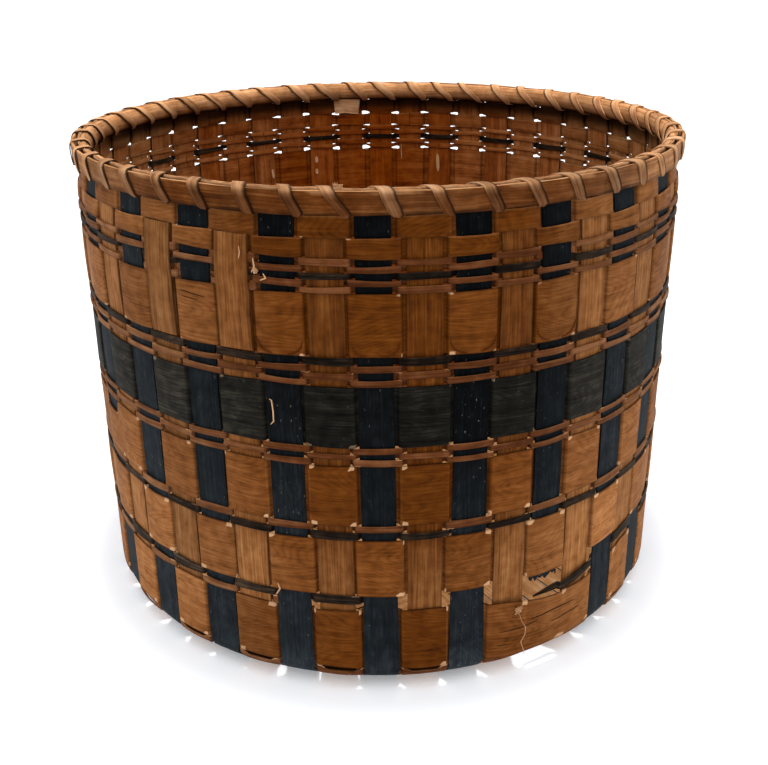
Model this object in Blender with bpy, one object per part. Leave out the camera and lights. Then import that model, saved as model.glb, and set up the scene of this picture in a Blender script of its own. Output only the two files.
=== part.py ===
"""Round splint storage basket with a checkerwork base and a lashed hoop rim.

Twenty-four long splints cross in the base, turn up at its rounded edge and
stand as forty-eight stakes, dyed and plain by turns. Wide and narrow weavers
go round them in plain weave, and two hoops, a filler and one spiral lashing
close the rim. Metres, +Z up, the middle of the underside at the origin.
"""
import math
from collections import namedtuple

import bmesh
import bpy
from mathutils import Vector

COLLECTION_NAME = "splint_basket"

# Fits between touching splints
FIT_GAP = 0.0003
ROW_GAP = 0.00035
STRIP_END_GAP = 0.0006

# Stakes, which are the upright ends of the base splints
STAKE_COUNT = 48
STAKE_WIDTH = 0.0172
STAKE_THICKNESS = 0.0008

# Base checkerwork
LENGTHWISE_COUNT = 13
BASE_GAP = 0.002
CROSSING_MARGIN = 0.0002
GRID_TURN_STAKES = 4

# The dyed stake that has broken off between the base edge and its lowest cover
BROKEN_STAKE = 4
BROKEN_UNDER_ROW = "wide_weaver_2"
BROKEN_END_DROP = 0.0012

# The extra splints that patch two plain stakes on the outside, over these rows
PATCHED_STAKES = (43, 45)
PATCH_TOP_ROW = "medium_weaver_6"
PATCH_FOOT_ROW = "wide_weaver_5"
PATCH_FOOT_INSET = 0.0006

# Wall outline, on the middle of the stakes' thickness
NECK_RADIUS = 0.1748
SHOULDER_SWELL = 0.0026
FOOT_SWELL = 0.0039
BEND_REACH = 0.022
BEND_RISE = 0.0136
BEND_STEPS = 4
TURN_STEPS = 4

# Weavers, which go round the stakes
WEAVER_THICKNESS = 0.0007
THREE_SIDED_LIMIT = 0.006
FLAT_MARGIN = 0.0005
BASE_ROW_WIDTH = 0.0034
ROW_A_WIDTH = 0.0343
ROW_B_WIDTH = 0.0342
ROW_C_WIDTH = 0.0341
ROW_D_WIDTH = 0.0329
ROW_E_WIDTH = 0.0317
ROW_F_WIDTH = 0.0091
ROW_G_WIDTH = 0.0092
NARROW_AB_WIDTH = 0.0036
DYED_AB_WIDTH = 0.0052
DYED_BC_WIDTH = 0.0042
NARROW_BC_WIDTH = 0.0040
NARROW_CD_WIDTH = 0.00305
NARROW_DE_WIDTH = 0.0032
DYED_DE_WIDTH = 0.0038
NARROW_EF_WIDTH = 0.0030
DYED_EF_WIDTH = 0.0032

# Rim
HOOP_WIDTH = 0.0113
HOOP_THICKNESS = 0.0034
STAKE_END_DROP = 0.0035
FILLER_THICKNESS = 0.0010
FILLER_TOP_DROP = 0.0003
LASH_THICKNESS = 0.0005
LASH_WIDTH = 0.0062
LASH_PASS_CLEARANCE = 0.0006
LASH_PASS_LEAN_SHARE = 0.03
LASH_TOP_START_SHARE = 0.44
LASH_TOP_END_SHARE = 0.56

PLAIN, DYED, PALE, HOOP = "plain", "dyed", "pale", "hoop"
FINISHES = {
    PLAIN: ((0.33, 0.13, 0.045, 1.0), 0.62),
    DYED: ((0.012, 0.017, 0.022, 1.0), 0.5),
    PALE: ((0.45, 0.22, 0.1, 1.0), 0.6),
    HOOP: ((0.36, 0.17, 0.08, 1.0), 0.58),
}

# A row's weaver lies outside the stakes of the colour that it covers. A whole
# row goes round to the stake where it began, and a broken one ends earlier.
Row = namedtuple("Row", "name width covers finish first_stake stakes")
ROWS = (
    Row("base_edge_weaver", BASE_ROW_WIDTH, PLAIN, PLAIN, 20, STAKE_COUNT),
    Row("wide_weaver_1", ROW_A_WIDTH, PLAIN, PLAIN, 26, STAKE_COUNT),
    Row("narrow_weaver_1_broken", NARROW_AB_WIDTH, DYED, PLAIN, 9, 36),
    Row("dyed_narrow_weaver_1_broken", DYED_AB_WIDTH, PLAIN, DYED, 4, 44),
    Row("wide_weaver_2", ROW_B_WIDTH, DYED, PLAIN, 23, STAKE_COUNT),
    Row("dyed_narrow_weaver_2", DYED_BC_WIDTH, PLAIN, DYED, 28, STAKE_COUNT),
    Row("narrow_weaver_2", NARROW_BC_WIDTH, DYED, PLAIN, 19, STAKE_COUNT),
    Row("wide_weaver_3", ROW_C_WIDTH, PLAIN, PLAIN, 22, STAKE_COUNT),
    Row("narrow_weaver_3", NARROW_CD_WIDTH, DYED, PLAIN, 27, STAKE_COUNT),
    Row("narrow_weaver_4", NARROW_CD_WIDTH, PLAIN, PLAIN, 30, STAKE_COUNT),
    Row("narrow_weaver_5", NARROW_CD_WIDTH, DYED, PLAIN, 21, STAKE_COUNT),
    Row("dyed_wide_weaver_4", ROW_D_WIDTH, PLAIN, DYED, 24, STAKE_COUNT),
    Row("narrow_weaver_6", NARROW_DE_WIDTH, DYED, PLAIN, 17, STAKE_COUNT),
    Row("narrow_weaver_7", NARROW_DE_WIDTH, PLAIN, PLAIN, 32, STAKE_COUNT),
    Row("narrow_weaver_8", NARROW_DE_WIDTH, DYED, PLAIN, 25, STAKE_COUNT),
    Row("dyed_narrow_weaver_3", DYED_DE_WIDTH, PLAIN, DYED, 20, STAKE_COUNT),
    Row("wide_weaver_5", ROW_E_WIDTH, DYED, PLAIN, 29, STAKE_COUNT),
    Row("narrow_weaver_9", NARROW_EF_WIDTH, PLAIN, PLAIN, 22, STAKE_COUNT),
    Row("narrow_weaver_10", NARROW_EF_WIDTH, DYED, PLAIN, 31, STAKE_COUNT),
    Row("dyed_narrow_weaver_4", DYED_EF_WIDTH, PLAIN, DYED, 26, STAKE_COUNT),
    Row("narrow_weaver_11_broken", NARROW_EF_WIDTH, DYED, PLAIN, 5, 46),
    Row("narrow_weaver_12", NARROW_EF_WIDTH, PLAIN, PLAIN, 28, STAKE_COUNT),
    Row("medium_weaver_6", ROW_F_WIDTH, DYED, PLAIN, 23, STAKE_COUNT),
    Row("medium_weaver_7", ROW_G_WIDTH, PLAIN, PLAIN, 30, STAKE_COUNT),
)

# Worked out from the sizes above
STAKE_STEP = 2.0 * math.pi / STAKE_COUNT
CROSSWISE_COUNT = STAKE_COUNT // 2 - LENGTHWISE_COUNT
BASE_PITCH = STAKE_WIDTH + BASE_GAP
LASH_PASS_WIDTH = NECK_RADIUS * STAKE_STEP - STAKE_WIDTH - 2.0 * LASH_PASS_CLEARANCE
STACK_STEP = STAKE_THICKNESS + FIT_GAP
BASE_LEVEL = STAKE_THICKNESS / 2.0 + STACK_STEP
SHOULDER_RADIUS = NECK_RADIUS + SHOULDER_SWELL
FOOT_RADIUS = NECK_RADIUS + FOOT_SWELL
FLAT_RADIUS = FOOT_RADIUS - BEND_REACH
FOOT_LEVEL = BASE_LEVEL + BEND_RISE
BEND_LENGTH = math.pi / 2.0 * math.sqrt((BEND_REACH ** 2 + BEND_RISE ** 2) / 2.0)
FOOT_REACH = FLAT_RADIUS + BEND_LENGTH
WEAVE_OFFSET = (STAKE_THICKNESS + WEAVER_THICKNESS) / 2.0 + FIT_GAP


def row_levels():
    """Foot and top height of each row, stacked from the base edge upwards."""
    levels = []
    foot = FOOT_LEVEL + ROW_GAP
    for row in ROWS:
        levels.append((foot, foot + row.width))
        foot += row.width + ROW_GAP
    return levels


ROW_LEVELS = row_levels()
ROW_NAMES = [row.name for row in ROWS]
BROKEN_LEVEL = ROW_LEVELS[ROW_NAMES.index(BROKEN_UNDER_ROW)][0] - BROKEN_END_DROP
SHOULDER_LEVEL = ROW_LEVELS[-2][0]
LASH_ROOM = LASH_THICKNESS + 2.0 * FIT_GAP
HOOP_FOOT = ROW_LEVELS[-1][1] + LASH_ROOM + FIT_GAP
RIM_TOP = HOOP_FOOT + HOOP_WIDTH
STAKE_TOP = RIM_TOP - STAKE_END_DROP
HOOP_SEAT = STAKE_THICKNESS / 2.0 + FIT_GAP


def wall_outline():
    """Radius and height of the stakes' middle, from the flat base to the rim."""
    points = []
    for step in range(BEND_STEPS + 1):
        turn = math.pi / 2.0 * step / BEND_STEPS
        radius = FLAT_RADIUS + BEND_REACH * math.sin(turn)
        height = BASE_LEVEL + BEND_RISE * (1.0 - math.cos(turn))
        points.append((radius, height))
    points.append((SHOULDER_RADIUS, SHOULDER_LEVEL))
    points.append((NECK_RADIUS, HOOP_FOOT))
    points.append((NECK_RADIUS, STAKE_TOP))
    return points


OUTLINE = wall_outline()


def radius_at(height):
    """Radius of the stakes' middle at a height on the wall."""
    for (r_low, z_low), (r_high, z_high) in zip(OUTLINE, OUTLINE[1:]):
        if height <= z_high:
            share = (height - z_low) / (z_high - z_low)
            return r_low + share * (r_high - r_low)
    return OUTLINE[-1][0]


def around(radius, angle, height):
    """Point at an angle from the front, turning to the right, seen from above."""
    return Vector((radius * math.sin(angle), -radius * math.cos(angle), height))


def loft(name, sections, closed=False):
    """One solid through sections of equally many points, each listed alike."""
    mesh = bpy.data.meshes.new(name)
    bm = bmesh.new()
    loops = [[bm.verts.new(point) for point in section] for section in sections]
    pairs = list(zip(loops, loops[1:]))
    if closed:
        pairs.append((loops[-1], loops[0]))
    sides = len(loops[0])
    for here, there in pairs:
        for side in range(sides):
            after = (side + 1) % sides
            bm.faces.new((here[side], here[after], there[after], there[side]))
    if not closed:
        bm.faces.new(reversed(loops[0]))
        bm.faces.new(loops[-1])
    bmesh.ops.recalc_face_normals(bm, faces=bm.faces)
    bm.to_mesh(mesh)
    bm.free()
    return bpy.data.objects.new(name, mesh)


def dress(piece, finish):
    """Give a piece its own plain material."""
    colour, roughness = FINISHES[finish]
    material = bpy.data.materials.new(piece.name + "_" + finish)
    material.use_nodes = True
    shader = material.node_tree.nodes["Principled BSDF"]
    shader.inputs["Base Color"].default_value = colour
    shader.inputs["Roughness"].default_value = roughness
    shader.inputs["Metallic"].default_value = 0.0
    material.diffuse_color = colour
    piece.data.materials.append(material)


def bend_point(reach, angle, lift):
    """Point on the base or its bend at a reach along the surface, lifted inwards."""
    if reach <= FLAT_RADIUS:
        return around(reach, angle, BASE_LEVEL + lift)
    scaled = min((reach - FLAT_RADIUS) / BEND_LENGTH, 1.0) * BEND_STEPS
    step = min(int(scaled), BEND_STEPS - 1)
    share = scaled - step
    (r_low, z_low), (r_high, z_high) = OUTLINE[step], OUTLINE[step + 1]
    turn = math.pi / 2.0 * scaled / BEND_STEPS
    inward = Vector((-BEND_RISE * math.sin(turn), BEND_REACH * math.cos(turn))).normalized()
    radius = r_low + share * (r_high - r_low) + lift * inward.x
    height = z_low + share * (z_high - z_low) + lift * inward.y
    return around(radius, angle, height)


def ribbon_section(left, right):
    """Section of a splint from its two edges, each given below and above."""
    return [left[0], right[0], right[1], left[1]]


def hermite(start, start_pull, end, end_pull, share):
    """Point on a smooth curve between two points with given pulls."""
    a = 2.0 * share ** 3 - 3.0 * share ** 2 + 1.0
    b = share ** 3 - 2.0 * share ** 2 + share
    c = -2.0 * share ** 3 + 3.0 * share ** 2
    d = share ** 3 - share ** 2
    return start * a + start_pull * b + end * c + end_pull * d


def foot_sections(offset, angle, base_turn, start, lift):
    """Sections of one end of a base splint, from its last crossing to the wall.

    The end leaves the checkerwork straight and turns as it rounds the base
    edge, so that it meets the wall with its width along it.
    """
    sections = []
    half = STAKE_WIDTH / 2.0
    half_angle = half / FOOT_RADIUS
    for step in range(1, TURN_STEPS + 1):
        share = step / TURN_STEPS
        edges = []
        for side in (-1.0, 1.0):
            begin = Vector((start, offset + side * half))
            foot_angle = angle + side * half_angle
            out = Vector((math.cos(foot_angle), math.sin(foot_angle)))
            end = out * FOOT_REACH
            pull = (end - begin).length
            flat = hermite(begin, Vector((pull, 0.0)), end, out * pull, share)
            turned = base_turn + math.atan2(flat.y, flat.x)
            rise = lift * (1.0 - share)
            low = bend_point(flat.length, turned, rise - STAKE_THICKNESS / 2.0)
            high = bend_point(flat.length, turned, rise + STAKE_THICKNESS / 2.0)
            edges.append((low, high))
        sections.append(ribbon_section(*edges))
    return sections


def stake_sections(angle, outline):
    """Sections of a stake, upright in the wall, at each radius and height given."""
    sections = []
    for radius, height in outline:
        edges = []
        for side in (-1.0, 1.0):
            turned = angle + side * STAKE_WIDTH / 2.0 / radius
            outside = around(radius + STAKE_THICKNESS / 2.0, turned, height)
            inside = around(radius - STAKE_THICKNESS / 2.0, turned, height)
            edges.append((outside, inside))
        sections.append(ribbon_section(*edges))
    return sections


def crossing_sections(offset, base_turn, lifts):
    """Flat sections of a splint across the base, two at each lifted crossing."""
    sections = []
    half = STAKE_WIDTH / 2.0
    middle = (len(lifts) - 1) / 2.0
    for place, lift in enumerate(lifts):
        for side in (-1.0, 1.0):
            along = (place - middle) * BASE_PITCH + side * (half + CROSSING_MARGIN)
            edges = []
            for across in (offset - half, offset + half):
                reach = math.hypot(along, across)
                turned = base_turn + math.atan2(across, along)
                low = around(reach, turned, BASE_LEVEL + lift - STAKE_THICKNESS / 2.0)
                high = around(reach, turned, BASE_LEVEL + lift + STAKE_THICKNESS / 2.0)
                edges.append((low, high))
            sections.append(ribbon_section(*edges))
    return sections


def base_splint(name, offset, angle, base_turn, lifts, broken):
    """One splint from the rim, down the wall, across the base and up again.

    A broken one stops short at its front, where it starts to round the edge.
    """
    middle = crossing_sections(offset, base_turn, lifts)
    if len(set(lifts)) == 1:
        middle = [middle[0], middle[-1]]
    start = (len(lifts) / 2.0 - 0.5) * BASE_PITCH + STAKE_WIDTH / 2.0 + CROSSING_MARGIN
    upright = OUTLINE[BEND_STEPS + 1:]
    front = foot_sections(offset, angle, base_turn, start, lifts[-1])
    if broken:
        front = front[:1]
    else:
        front += stake_sections(base_turn + angle, upright)
    back = foot_sections(-offset, -angle, base_turn + math.pi, start, lifts[0])
    back += stake_sections(base_turn + math.pi - angle, upright)
    mirrored = [[s[1], s[0], s[3], s[2]] for s in reversed(back)]
    return loft(name, mirrored + middle + front)


def broken_top(name):
    """The upper end of the broken stake, still woven into the wall."""
    outline = [(radius_at(BROKEN_LEVEL), BROKEN_LEVEL)] + OUTLINE[BEND_STEPS + 1:]
    return loft(name, stake_sections(BROKEN_STAKE * STAKE_STEP, outline))


def base_splints():
    """The lengthwise splints, which lie flat, and the crosswise ones woven through."""
    splints = []
    counts = {PLAIN: 0, DYED: 0}
    flat_lifts = [0.0] * CROSSWISE_COUNT
    sets = (
        (LENGTHWISE_COUNT, GRID_TURN_STAKES, False),
        (CROSSWISE_COUNT, GRID_TURN_STAKES + STAKE_COUNT // 4, True),
    )
    for count, middle_stake, woven in sets:
        for place in range(count):
            order = place - count // 2
            stake = middle_stake + order
            finish = DYED if stake % 2 == 0 else PLAIN
            lifts = flat_lifts
            if woven:
                lifts = [STACK_STEP * (-1) ** (order + other + 1)
                         for other in range(-(LENGTHWISE_COUNT // 2), LENGTHWISE_COUNT // 2 + 1)]
            counts[finish] += 1
            broken = stake == BROKEN_STAKE
            name = "%s_stake_splint_%d" % (finish, counts[finish])
            if broken:
                name += "_broken"
                splints.append((broken_top(name + "_top"), finish))
            splint = base_splint(name, order * BASE_PITCH, order * STAKE_STEP,
                                 middle_stake * STAKE_STEP, lifts, broken)
            splints.append((splint, finish))
    return splints


def patch_splint(name, stake):
    """A splint laid over a stake and the narrow weavers that cover it."""
    foot = ROW_LEVELS[ROW_NAMES.index(PATCH_FOOT_ROW)][0] + PATCH_FOOT_INSET
    top = ROW_LEVELS[ROW_NAMES.index(PATCH_TOP_ROW)][1]
    out = 2.0 * WEAVE_OFFSET
    outline = [(radius_at(height) + out, height) for height in (foot, SHOULDER_LEVEL, top)]
    return loft(name, stake_sections(stake * STAKE_STEP, outline))


def weaver_stations(row, levels):
    """Angles round a row with the side of the stakes that it lies on there."""
    radius = radius_at(0.5 * sum(levels))
    flat_angle = (STAKE_WIDTH / 2.0 + FLAT_MARGIN) / radius
    covered = 1 if row.covers == PLAIN else 0
    end_angle = STRIP_END_GAP / radius
    stations = []
    for stake in range(row.first_stake, row.first_stake + row.stakes + 1):
        angle = stake * STAKE_STEP
        side = 1.0 if stake % 2 == covered else -1.0
        first = stake == row.first_stake
        last = stake == row.first_stake + row.stakes
        stations.append((angle + end_angle if first else angle - flat_angle, side))
        stations.append((angle - end_angle if last else angle + flat_angle, side))
    return stations


def weaver(row, levels):
    """One weaver, wide ones as flat strips and narrow ones as three-sided strips."""
    foot, top = levels
    half = WEAVER_THICKNESS / 2.0
    sections = []
    for angle, side in weaver_stations(row, levels):
        shift = side * WEAVE_OFFSET
        low, high = radius_at(foot) + shift, radius_at(top) + shift
        if row.width > THREE_SIDED_LIMIT:
            sections.append([
                around(low + half, angle, foot), around(high + half, angle, top),
                around(high - half, angle, top), around(low - half, angle, foot)])
        else:
            middle = (low + high) / 2.0
            sections.append([
                around(low + half, angle, foot), around(high + half, angle, top),
                around(middle - half, angle, (foot + top) / 2.0)])
    return loft(row.name, sections)


def hoop(name, inner_radius, thickness, foot, top):
    """A closed ring, with a corner over each stake gap."""
    sections = []
    for stake in range(STAKE_COUNT):
        angle = (stake + 0.5) * STAKE_STEP
        sections.append([
            around(inner_radius + thickness, angle, foot),
            around(inner_radius + thickness, angle, top),
            around(inner_radius, angle, top), around(inner_radius, angle, foot)])
    return loft(name, sections, closed=True)


def facet_radius(radius, share):
    """Radius of a hoop's flat facet at a share of a stake step from a corner."""
    half = STAKE_STEP / 2.0
    return radius * math.cos(half) / math.cos(half - abs(share) * STAKE_STEP)


def lashing():
    """The lashing, with four corners to a wrap and one wrap to a stake gap.

    It stops before its last corner, so that its two ends stay apart.
    """
    near = FIT_GAP
    far = FIT_GAP + LASH_THICKNESS
    outer = NECK_RADIUS + HOOP_SEAT + HOOP_THICKNESS
    inner = NECK_RADIUS - HOOP_SEAT - HOOP_THICKNESS
    corners = (
        (-LASH_PASS_LEAN_SHARE, LASH_PASS_WIDTH, outer, 1.0, HOOP_FOOT, -1.0),
        (LASH_PASS_LEAN_SHARE, LASH_PASS_WIDTH, inner, -1.0, HOOP_FOOT, -1.0),
        (LASH_TOP_START_SHARE, LASH_WIDTH, inner, -1.0, RIM_TOP, 1.0),
        (LASH_TOP_END_SHARE, LASH_WIDTH, outer, 1.0, RIM_TOP, 1.0),
    )
    sections = []
    for wrap in range(STAKE_COUNT):
        for lean, width, radius, outward, level, upward in corners:
            edges = []
            for side in (-1.0, 1.0):
                edge_share = lean + side * width / 2.0 / radius / STAKE_STEP
                turned = (wrap + 0.5 + edge_share) * STAKE_STEP
                facet = facet_radius(radius, edge_share)
                close = around(facet + outward * near, turned, level + upward * near)
                away = around(facet + outward * far, turned, level + upward * far)
                edges.append((close, away))
            sections.append(ribbon_section(*edges))
    return loft("rim_lashing", sections[:-1])


def build():
    """Make every piece and put it in the basket's collection."""
    for old in list(bpy.data.objects):
        bpy.data.objects.remove(old, do_unlink=True)
    collection = bpy.data.collections.new(COLLECTION_NAME)
    bpy.context.scene.collection.children.link(collection)
    pieces = base_splints()
    for count, stake in enumerate(PATCHED_STAKES, 1):
        pieces.append((patch_splint("stake_patch_splint_%d" % count, stake), PLAIN))
    for row, levels in zip(ROWS, ROW_LEVELS):
        pieces.append((weaver(row, levels), row.finish))
    outer = NECK_RADIUS + HOOP_SEAT
    inner = NECK_RADIUS - HOOP_SEAT - HOOP_THICKNESS
    pieces.append((hoop("outer_rim_hoop", outer, HOOP_THICKNESS, HOOP_FOOT, RIM_TOP), HOOP))
    pieces.append((hoop("inner_rim_hoop", inner, HOOP_THICKNESS, HOOP_FOOT, RIM_TOP), HOOP))
    filler_foot = STAKE_TOP + FIT_GAP
    filler_inner = NECK_RADIUS - FILLER_THICKNESS / 2.0
    filler = hoop("rim_filler", filler_inner, FILLER_THICKNESS, filler_foot,
                  RIM_TOP - FILLER_TOP_DROP)
    pieces.append((filler, PLAIN))
    pieces.append((lashing(), PALE))
    for piece, finish in pieces:
        dress(piece, finish)
        collection.objects.link(piece)


build()
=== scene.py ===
"""Visual model of a round splint basket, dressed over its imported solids.

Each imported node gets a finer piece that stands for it: splints that wobble and
bow as they pass over and under, bevelled hoops, a wound lashing, and the
broken, torn and patched places. Metres, +Z up, the front towards -Y.
"""
import logging
import math
from dataclasses import dataclass, field
from enum import Enum, IntEnum

import bpy
import numpy as np
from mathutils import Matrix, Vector


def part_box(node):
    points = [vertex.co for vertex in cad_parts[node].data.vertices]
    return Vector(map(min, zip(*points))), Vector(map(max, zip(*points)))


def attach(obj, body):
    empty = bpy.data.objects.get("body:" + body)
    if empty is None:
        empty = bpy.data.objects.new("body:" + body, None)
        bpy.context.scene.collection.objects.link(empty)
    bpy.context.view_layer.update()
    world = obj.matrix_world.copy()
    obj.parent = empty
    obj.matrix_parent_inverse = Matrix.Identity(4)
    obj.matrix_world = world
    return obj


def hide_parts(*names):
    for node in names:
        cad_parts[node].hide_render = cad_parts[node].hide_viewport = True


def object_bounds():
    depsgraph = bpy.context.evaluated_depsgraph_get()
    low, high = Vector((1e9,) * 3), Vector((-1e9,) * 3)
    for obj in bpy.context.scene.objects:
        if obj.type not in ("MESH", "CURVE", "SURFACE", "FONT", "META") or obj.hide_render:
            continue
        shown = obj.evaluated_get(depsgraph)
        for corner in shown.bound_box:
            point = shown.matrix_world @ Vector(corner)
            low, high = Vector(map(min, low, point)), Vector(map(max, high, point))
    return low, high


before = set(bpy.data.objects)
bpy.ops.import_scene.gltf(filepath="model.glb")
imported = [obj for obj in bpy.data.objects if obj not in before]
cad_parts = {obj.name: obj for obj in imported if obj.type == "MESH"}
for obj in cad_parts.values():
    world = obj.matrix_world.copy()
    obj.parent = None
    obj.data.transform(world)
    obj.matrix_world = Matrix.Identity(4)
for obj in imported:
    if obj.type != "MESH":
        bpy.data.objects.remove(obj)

LOG = logging.getLogger("splint_basket")
CAD_LOW, CAD_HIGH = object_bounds()

STAKES = 48
STEP = 2.0 * math.pi / STAKES
MM = 0.001
TURN_SHIFT = 0.035
TURN_REACH = 0.035
SPLINT_SMOOTH = math.radians(35.0)
HOOP_SMOOTH = math.radians(30.0)


class Cover(Enum):
    """Which stakes a weaver lies outside of, as the stake number's remainder."""

    PLAIN = 1
    DYED = 0


class Tint(Enum):
    """The finishes that a splint can have on a face."""

    CHESTNUT = "chestnut_splint"
    STAKE = "stake_splint"
    RUSSET = "russet_narrow_splint"
    INNER = "inner_splint"
    INDIGO = "indigo_dyed_splint"
    CHARCOAL = "charcoal_dyed_splint"
    SOOT = "soot_narrow_splint"
    HOOP = "hoop_wood"
    LASH = "lashing_splint"
    FIBRE = "torn_fibre"
    WATERMARK = "watermark"


class Draw(IntEnum):
    """The seeds of the fixed draws. Rows, hoops and splints count on from theirs."""

    FOOT_SWAY = 11
    RIM_SWAY = 12
    STAKE_WIDTH = 60
    STAKE_BOW = 61
    TORN_TOP = 77
    TORN_STUB = 78
    SQUARE_LIGHT = 100
    ROW_LIGHT = 140
    CORNER_WEAR = 180
    EDGE_WANDER = 300
    SQUARE_SWELL = 400
    SQUARE_CURL = 440
    EDGE_SLACK = 470
    HOOP_LIGHT = 500
    HOOP_WEAR = 520
    HOOP_STAIN = 540
    HOOP_BLEACH = 560
    HOOP_RISE = 600
    HOOP_ROUND = 620
    FILLER_TOP = 640
    FILLER_LIGHT = 650
    WRAP_PLACE = 660
    WRAP_SLANT = 661
    WRAP_WIDTH = 662
    WRAP_LIGHT = 663
    WRAP_BLEACH = 664
    SPLINT = 700


def linear(red: float, green: float, blue: float) -> tuple[float, float, float, float]:
    """A colour given as on a screen, 0 to 255, as the shader takes it.

    Args:
        red: Red as on a screen.
        green: Green as on a screen.
        blue: Blue as on a screen.

    Returns:
        The same colour in linear light, opaque.
    """
    parts = [part / 255.0 for part in (red, green, blue)]
    parts = [p / 12.92 if p <= 0.04045 else ((p + 0.055) / 1.055) ** 2.4 for p in parts]
    return parts[0], parts[1], parts[2], 1.0


def shades(*colours: tuple[int, int, int]) -> tuple:
    """The dark, middle and pale colour of a grain, given as on a screen."""
    return tuple(linear(*colour) for colour in colours)


def ease(low: float, high: float, value: np.ndarray) -> np.ndarray:
    """Smooth rise from 0 at low to 1 at high.

    Args:
        low: Where the rise starts.
        high: Where it ends.
        value: Places to read it at.

    Returns:
        The rise at each place.
    """
    share = np.clip((np.asarray(value, float) - low) / (high - low), 0.0, 1.0)
    return share * share * (3.0 - 2.0 * share)


def ripple(stake: np.ndarray, seed: int,
           waves: tuple[int, ...] = (2, 3, 5, 8, 13)) -> np.ndarray:
    """Smooth wobble of size about one that closes round the basket.

    Args:
        stake: Places round the wall, in stake steps.
        seed: Picks the wobble.
        waves: How many whole waves go round in each of its parts.

    Returns:
        The wobble at each place.
    """
    phases = np.random.default_rng(seed).uniform(0.0, 2.0 * math.pi, len(waves))
    turn = np.asarray(stake, float) * STEP
    total = sum(np.cos(wave * turn + phase) for wave, phase in zip(waves, phases))
    return total / math.sqrt(len(waves))


def chance(seed: int, count: int = STAKES) -> np.ndarray:
    """A fixed draw of numbers round zero, of spread one and never past two.

    Args:
        seed: Picks the draw.
        count: How many numbers.

    Returns:
        The numbers.
    """
    return np.clip(np.random.default_rng(seed).normal(0.0, 1.0, count), -2.0, 2.0)


def between(table: np.ndarray, stake: np.ndarray) -> np.ndarray:
    """Values given at whole stakes, read between them, closing round the wall.

    Args:
        table: One value for each stake.
        stake: Places round the wall, in stake steps.

    Returns:
        The value at each place.
    """
    return np.interp(np.mod(stake, STAKES), np.arange(STAKES + 1), np.append(table, table[0]))


def round_front(stake: np.ndarray) -> np.ndarray:
    """Places round the wall, counted both ways from the front, -24 to 24."""
    return np.mod(np.asarray(stake, float) + STAKES / 2.0, STAKES) - STAKES / 2.0


def stakes_at(points: np.ndarray) -> np.ndarray:
    """Places round the wall, in stake steps, of points in space."""
    return np.arctan2(points[..., 0], -points[..., 1]) / STEP


def read_points(mesh: bpy.types.Mesh) -> np.ndarray:
    """Where a mesh's vertices are.

    Args:
        mesh: The mesh.

    Returns:
        Their coordinates, one vertex to a row.
    """
    flat = np.empty(len(mesh.vertices) * 3)
    mesh.vertices.foreach_get("co", flat)
    return flat.reshape(-1, 3)


def read_numbers(parts: object, name: str) -> np.ndarray:
    """Whole numbers kept with a mesh's corners or faces.

    Args:
        parts: The corners or the faces.
        name: Which number.

    Returns:
        The number of each.
    """
    numbers = np.empty(len(parts), int)
    parts.foreach_get(name, numbers)
    return numbers


def set_down() -> None:
    """Leave nothing selected."""
    bpy.ops.object.select_all(action="DESELECT")


def passing(stake: np.ndarray, cover: Cover, lapses: tuple[int, ...] = ()) -> np.ndarray:
    """How far out a weaver is: 1 outside a stake, -1 behind one, with short turns.

    Args:
        stake: Places round the wall, in stake steps.
        cover: The stakes that the weaver covers.
        lapses: Stakes that it passes on the wrong side.

    Returns:
        The side at each place.
    """
    nearest = np.round(stake)
    beyond = nearest + np.where(stake > nearest, 1.0, -1.0)
    sides = []
    for number in (nearest, beyond):
        out = np.mod(number, 2) == cover.value
        for lapse in lapses:
            out = out ^ (np.mod(number - lapse, STAKES) == 0)
        sides.append(out)
    here, there = sides
    turn = np.where(here, 0.5 + TURN_SHIFT, 0.5 - TURN_SHIFT)
    share = np.clip((turn - np.abs(stake - nearest)) / TURN_REACH, -1.0, 1.0)
    share = np.where(here == there, 1.0, share)
    return np.where(here, 1.0, -1.0) * share * (1.5 - 0.5 * share * share)


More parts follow.
